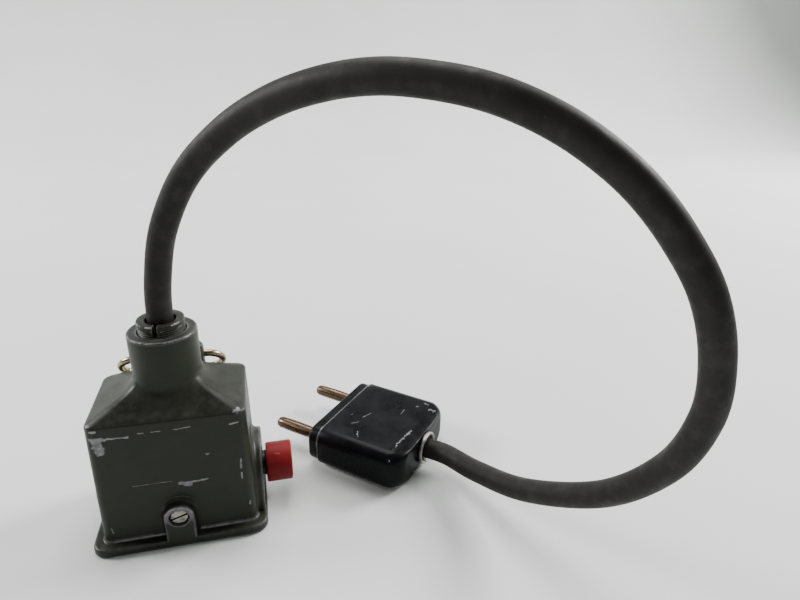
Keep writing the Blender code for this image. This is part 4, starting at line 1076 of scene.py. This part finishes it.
# %% Ring
RING_JOINT = next(j for j in frame["joints"] if j["name"] == "ring_swing")
RING_AXIS = Vector(RING_JOINT["pos_m"])
RING_MIDDLE = centre_of("strap_ring")
RING_LEAN = atan2(RING_MIDDLE.z - RING_AXIS.z, RING_MIDDLE.y - RING_AXIS.y)
RING_STRAIGHT, RING_BEND = 11.7, 5.5


def strap_ring():
    """A wire loop: straight, bend, straight, bend."""
    bm = bmesh.new()
    made = bmesh.ops.create_circle(bm, cap_ends=False, segments=24, radius=WIRE_RADIUS * MM)
    place_it = Matrix.Translation((-RING_STRAIGHT * MM, 0, 0)) @ Matrix.Rotation(pi / 2, 4, "Y")
    bmesh.ops.transform(bm, matrix=place_it, verts=made["verts"])
    edges = bm.edges[:]
    for side in (1, -1):
        for _ in range(6):
            grown = bmesh.ops.extrude_edge_only(bm, edges=edges)["geom"]
            verts = [g for g in grown if isinstance(g, bmesh.types.BMVert)]
            edges = [g for g in grown if isinstance(g, bmesh.types.BMEdge)]
            bmesh.ops.translate(bm, vec=(side * RING_STRAIGHT / 3 * MM, 0, 0), verts=verts)
            edges = [e for e in edges if e.verts[0] in verts and e.verts[1] in verts]
        peg = (side * RING_STRAIGHT * MM, RING_BEND * MM, 0)
        spun = bmesh.ops.spin(bm, geom=edges, cent=peg, axis=(0, 0, 1), dvec=(0, 0, 0), angle=pi, steps=24)
        edges = [g for g in spun["geom_last"] if isinstance(g, bmesh.types.BMEdge)]
    bmesh.ops.remove_doubles(bm, verts=bm.verts, dist=0.01 * MM)
    lean = Matrix.Translation(RING_AXIS) @ Matrix.Rotation(RING_LEAN, 4, "X")
    bmesh.ops.transform(bm, matrix=lean, verts=bm.verts)
    return bm


finished("ring_wire", strap_ring(), ZINC, "ring", ["strap_ring"])
print("ring leans by degrees:", round(RING_LEAN / radians(1), 1))

# %% [markdown]
# ## Push button and its bush
# The button is a moulded cap with a slightly dished face, pressed on a steel plunger. It
# slides in a black bush whose nose shows in the gap behind it. Both are turned shapes.

# %% Button
CAP_BACK, CAP_FACE = (corner.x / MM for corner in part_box("push_button"))
CAP_RADIUS = 7.2


def button_cap():
    """A cap with a rounded rim, a shallow dish in its face and a hollow behind."""
    dish = [(CAP_RADIUS - 1.5 - k * 0.95, CAP_FACE - 0.25 * sin(pi / 2 * k / 6)) for k in range(7)]
    rim = [(CAP_RADIUS - 0.7 * (1 - c), CAP_FACE - 0.7 * (1 - s)) for s, c in quarter_round(5)]
    profile = [(1.8, 36.0), (1.8, 32.5), (5.2, 32.5), (5.2, CAP_BACK), (CAP_RADIUS - 0.6, CAP_BACK),
               (CAP_RADIUS - 0.15, CAP_BACK + 0.2), (CAP_RADIUS, CAP_BACK + 0.7)]
    profile += rim + dish + [(0, CAP_FACE - 0.25), (0, 36.0)]
    return turned(profile, 96, "X", (0, 0, BUTTON_Z))


finished("button_cap", button_cap(), RED, "button", ["push_button"])

# %% [markdown]
# ## Return spring
# A compression spring is wound from wire, and its last turns lie close together so that it
# stands square. It sits in the block's pocket and pushes on the nut behind the bridge. It
# shortens as the button goes in; here it is drawn at one length.

# %% Spring
SPRING_RADIUS, SPRING_WIRE, SPRING_TURNS, SPRING_CLOSING = 2.55, 0.3, 7, 0.4
SPRING_FOOT, SPRING_TOP = (corner.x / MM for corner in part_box("return_spring"))


def spring_points():
    """Points along the coiled wire, which climbs slowly at both ends."""
    start, end = SPRING_FOOT + SPRING_WIRE, SPRING_TOP - SPRING_WIRE
    steps = 24 * SPRING_TURNS
    points = []
    for k in range(steps + 1):
        share = k / steps
        climb = share - SPRING_CLOSING * sin(2 * pi * share) / (2 * pi)
        turn = 2 * pi * SPRING_TURNS * share
        points.append(Vector((start + (end - start) * climb, SPRING_RADIUS * cos(turn),
                              BUTTON_Z + SPRING_RADIUS * sin(turn))))
    return points


spring = finished("return_spring_coil", drawn_tube(spring_points(), SPRING_WIRE, 12), STEEL, "case",
                  ["return_spring"])
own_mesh(spring)
print("spring length in mm:", round(SPRING_TOP - SPRING_FOOT, 2))

# %% Bush
BUSH_BACK, BUSH_NOSE = (corner.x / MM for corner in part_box("button_bush"))
bush_profile = [(2.3, BUSH_BACK), (4.5, BUSH_BACK), (4.5, PAD_FACE - 0.8), (6.0, PAD_FACE - 0.8),
                (6.0, PAD_FACE), (4.5, PAD_FACE), (4.5, BUSH_NOSE), (2.3, BUSH_NOSE)]
finished("bush_turned", turned(bush_profile, 80, "X", (0, 0, BUTTON_Z), bevel=0.15), BLACK_PLASTIC,
         "case", ["button_bush"])

# %% [markdown]
# ## The plug
# The plug is a flat moulding in two pieces: a face that holds the pins, and a cover with
# rounded sides whose corners are well rounded towards the lead. Both are pressed forms
# along the plug's own axis. The cover's top is flat up to a crease, then falls away.

# %% Plug cover and face
PLUG_EDGE, PLUG_CORNER, PLUG_WALL = 5.0, 7.2, 2.2
CREASE, END_DROP = 36.3, 1.5
FACE_DEPTH, SEAM = 4.5, 0.3
HALF_WIDTH, HALF_HEIGHT = PLUG_WIDTH / 2, PLUG_HEIGHT / 2
PLUG_DIRECTIONS = box_directions(HALF_WIDTH, HALF_HEIGHT, PLUG_EDGE, 5, 10, 20)


def across_plug(along, width, height, edge):
    """A rounded oblong section at a place along the plug."""
    def section(a):
        r = box_radius(a, width, height, edge)
        return Vector((along, r * cos(a), r * sin(a)))
    return section


def round_hole(along, radius):
    """A round section at a place along the plug."""
    return lambda a: Vector((along, radius * cos(a), radius * sin(a)))


def plug_cover():
    """The cover: from the seam over the rounded end and back inside."""
    front, bore, seam_round = FACE_DEPTH + SEAM, 5.0, 0.45
    rings = []
    for s, c in quarter_round(4):
        shrink = seam_round * (1 - s)
        rings.append(across_plug(front + seam_round * (1 - c), HALF_WIDTH - shrink,
                                 HALF_HEIGHT - shrink, PLUG_EDGE))
    rings += [across_plug(front + k * 5.5, HALF_WIDTH, HALF_HEIGHT, PLUG_EDGE) for k in range(1, 6)]
    for s, c in quarter_round(20):
        along = PLUG_LENGTH - PLUG_CORNER * (1 - s)
        over = max(along - CREASE, 0.0) / (PLUG_LENGTH - CREASE)
        drop = END_DROP * over ** 1.25
        rings.append(across_plug(along, HALF_WIDTH - PLUG_CORNER * (1 - c), HALF_HEIGHT - drop,
                                 PLUG_EDGE - 0.6 * drop))
    rings += [round_hole(PLUG_LENGTH, bore + 1.6), round_hole(PLUG_LENGTH, bore + 0.2)]
    rings += [round_hole(PLUG_LENGTH - 0.2, bore), round_hole(PLUG_LENGTH - 4, bore)]
    inner_x, inner_y = HALF_WIDTH - PLUG_WALL, HALF_HEIGHT - PLUG_WALL
    rings.append(across_plug(PLUG_LENGTH - 4, inner_x - 5, inner_y, 3.0))
    rings.append(across_plug(PLUG_LENGTH - 9, inner_x, inner_y, 3.0))
    rings.append(across_plug(front, inner_x, inner_y, 3.0))
    bm = press(rings, PLUG_DIRECTIONS)
    bmesh.ops.transform(bm, matrix=PLUG_PLACE, verts=bm.verts)
    return bm


def plug_face():
    """The face: a capped block with a rounded front rim and two pin holes."""
    inset, rim_round = 0.7, 1.1
    rings = [across_plug(0.0, HALF_WIDTH - 4.5, HALF_HEIGHT - 4.5, PLUG_EDGE - 3.4)]
    for s, c in quarter_round(6):
        shrink = inset + rim_round * (1 - s)
        rings.append(across_plug(rim_round * (1 - c), HALF_WIDTH - shrink, HALF_HEIGHT - shrink,
                                 PLUG_EDGE - shrink / 2))
    rings.append(across_plug(FACE_DEPTH, HALF_WIDTH - inset, HALF_HEIGHT - inset,
                             PLUG_EDGE - inset / 2))
    bm = press(rings, PLUG_DIRECTIONS, ends="capped")
    holes = [turned([(0, -2), (1.8, -2), (1.8, 8), (0, 8)], 32, "X", (0, side * PIN_SPACING / 2, 0))
             for side in (-1, 1)]
    bm = boolean(bm, holes, "DIFFERENCE")
    bmesh.ops.transform(bm, matrix=PLUG_PLACE, verts=bm.verts)
    return bm


PIN_SPACING = (centre_of("plug_pin_front") - centre_of("plug_pin_back")).length / MM
cover = finished("plug_cover", plug_cover(), BLACK, "case", ["plug_shell"])
face = finished("plug_front", plug_face(), BLACK, "case", ["plug_face"])
print("pin spacing in mm:", round(PIN_SPACING, 2))

# %% [markdown]
# Each pin is a turned brass rod, sawn crosswise from its tip so that its four leaves spring
# into the socket. The leaves bulge a little in the middle, which is what grips.

# %% Pins
PIN_LENGTH, PIN_RADIUS, SAW = 20.5, 2.5, 0.28


def plug_pin(side):
    """A sprung pin: turned, bevelled at its tip and sawn twice."""
    swell = [(PIN_RADIUS - 0.16 * (1 - sin(pi * k / 8)), 1.7 - PIN_LENGTH + k * 1.9) for k in range(9)]
    profile = [(0, -PIN_LENGTH), (1.35, -PIN_LENGTH), (1.75, 0.25 - PIN_LENGTH)] + swell
    profile += [(PIN_RADIUS - 0.16, -1.4), (PIN_RADIUS, -1.2), (PIN_RADIUS, -0.3), (1.5, -0.3), (1.5, 12.0),
                (0, 12.0)]
    pin = turned(profile, 64, "X", (0, 0, 0))
    past_tip, saw_end, saw_reach = -PIN_LENGTH - 1, -3.5, 5
    saws = [block((past_tip, -SAW, -saw_reach), (saw_end, SAW, saw_reach)),
            block((past_tip, -saw_reach, -SAW), (saw_end, saw_reach, SAW))]
    pin = boolean(pin, saws, "DIFFERENCE")
    bmesh.ops.translate(pin, vec=(0, side * PIN_SPACING / 2 * MM, 0), verts=pin.verts)
    bmesh.ops.transform(pin, matrix=PLUG_PLACE, verts=pin.verts)
    return pin


pins = [finished(f"pin_{name}", plug_pin(side), BRASS, "case", [f"plug_pin_{name}"])
        for name, side in (("front", -1), ("back", 1))]

# %% [markdown]
# A thin rolled ring of steel closes the cover round the lead and catches the light.

# %% Ferrule
ferrule_profile = [(5.4, PLUG_LENGTH + 0.3), (6.3, PLUG_LENGTH + 0.3), (6.6, PLUG_LENGTH + 0.6),
                   (6.6, PLUG_LENGTH + 1.5), (6.45, PLUG_LENGTH + 1.85), (6.1, PLUG_LENGTH + 2.0),
                   (5.7, PLUG_LENGTH + 1.85), (5.45, PLUG_LENGTH + 1.5)]
ferrule_bm = turned(ferrule_profile, 80, "X")
bmesh.ops.transform(ferrule_bm, matrix=PLUG_PLACE, verts=ferrule_bm.verts)
ferrule = finished("lead_ferrule", ferrule_bm, STEEL, "case", ["cable_ferrule"], sharp=50.0)

# %% [markdown]
# ## The pieces inside
# The switch, the seals and the wires are hidden in the closed box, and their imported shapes
# are already right. They keep those shapes and only get the finishes made above.

# %% Finishes for carried-over parts
FINISHES = {
    "base_plate": OLIVE, "base_gasket": RUBBER, "gland_washer": STEEL, "gland_seal": RUBBER,
    "plunger": STEEL, "plunger_clip": STEEL, "contact_bridge": BRASS, "bridge_nut": BRASS,
    "bush_nut": BRASS, "contact_block": BAKELITE,
    "contact_blade_front": BRASS, "contact_blade_back": BRASS, "terminal_screw_front": STEEL,
    "terminal_screw_back": STEEL, "block_screw_front": STEEL, "block_screw_back": STEEL,
    "core_wire_front": CORE_RED, "core_wire_back": CORE_GREY, "pin_nut_front": BRASS,
    "pin_nut_back": BRASS, "plug_wire_front": CORE_RED, "plug_wire_back": CORE_GREY,
}
for node, finish in FINISHES.items():
    mesh = frame["nodes"][node].data
    mesh.materials.clear()
    mesh.materials.append(finish)
print("finished CAD nodes:", len(FINISHES))

ON_THE_LEAD = [cover, face, *pins, ferrule]
ON_THE_LEAD += [frame["nodes"][name] for name in ("pin_nut_front", "pin_nut_back",
                                                  "plug_wire_front", "plug_wire_back")]
PATH, _ = fair_points(LEAD_ROUTE, 40)

# %% [markdown]
# ## Floor and light
# A pale sweep stands in for a studio table: a floor that curves up into a wall, so there is
# no hard horizon. One wide lamp above and behind gives soft shadows towards the viewer and
# leaves the front of the box dark. Two smaller ones behind, right and left, put light on the
# roof and along the lead. Two weak ones, right and front left, keep detail in the dark sides.


# %% Sweep
def sweep():
    """A pale floor that curves up into a wall behind the key."""
    bm = bmesh.new()
    bend, back = 0.35, 0.75
    points = [bm.verts.new((-2.5, -2.5, 0)), bm.verts.new((-2.5, back, 0))]
    bm.edges.new(points)
    spun = bmesh.ops.spin(bm, geom=[points[1]], cent=(0, back, bend), axis=(1, 0, 0), dvec=(0, 0, 0),
                          angle=pi / 2, steps=24)
    top = next(g for g in spun["geom_last"] if isinstance(g, bmesh.types.BMVert))
    wall_top = bm.verts.new(top.co + Vector((0, 0, 0.25)))
    bm.edges.new((top, wall_top))
    made = bmesh.ops.extrude_edge_only(bm, edges=bm.edges[:])["geom"]
    verts = [g for g in made if isinstance(g, bmesh.types.BMVert)]
    bmesh.ops.translate(bm, vec=(5.0, 0, 0), verts=verts)
    mesh = bpy.data.meshes.new("sweep")
    bm.to_mesh(mesh)
    bm.free()
    mesh.shade_smooth()
    made, tree, shader = new_material("pale_paper")
    drift = between(tree, noise(tree, 6.0, 3.0), 0.3, 0.7)
    feed(tree, shader, Base_Color=mixed(tree, drift, (0.60, 0.62, 0.60), (0.63, 0.65, 0.63)), Roughness=0.8)
    mesh.materials.append(made)
    floor = bpy.data.objects.new("sweep", mesh)
    bpy.context.scene.collection.objects.link(floor)
    floor.location.z = -0.0002


sweep()


# %% Lamps
def lamp(name, where, aim, size, watts, colour=(1.0, 1.0, 1.0)):
    """A square soft lamp at a place, turned to a point."""
    data = bpy.data.lights.new(name, "AREA")
    data.size = size
    data.energy = watts
    data.color = colour
    made = bpy.data.objects.new(name, data)
    made.location = where
    made.rotation_euler = (Vector(aim) - Vector(where)).to_track_quat("-Z", "Y").to_euler()
    bpy.context.scene.collection.objects.link(made)


lamp("overhead", (0.15, 0.8, 1.8), (0.05, 0.05, 0.0), 1.3, 43.0)
lamp("back_right", (1.2, 0.35, 0.75), (0.05, 0.0, 0.02), 0.45, 29.0)
lamp("back_left", (-1.15, 0.45, 0.75), (0.0, 0.0, 0.05), 0.45, 25.0)
lamp("right_window", (1.3, -0.35, 0.9), (0.05, 0.0, 0.05), 0.4, 3.0)
lamp("front_fill", (-0.4, -1.1, 0.9), (0.05, 0.0, 0.03), 0.6, 2.2)
world = bpy.data.worlds.new("pale_room")
world.use_nodes = True
world.node_tree.nodes["Background"].inputs["Color"].default_value = (0.82, 0.86, 0.84, 1.0)
world.node_tree.nodes["Background"].inputs["Strength"].default_value = 0.13
bpy.context.scene.world = world
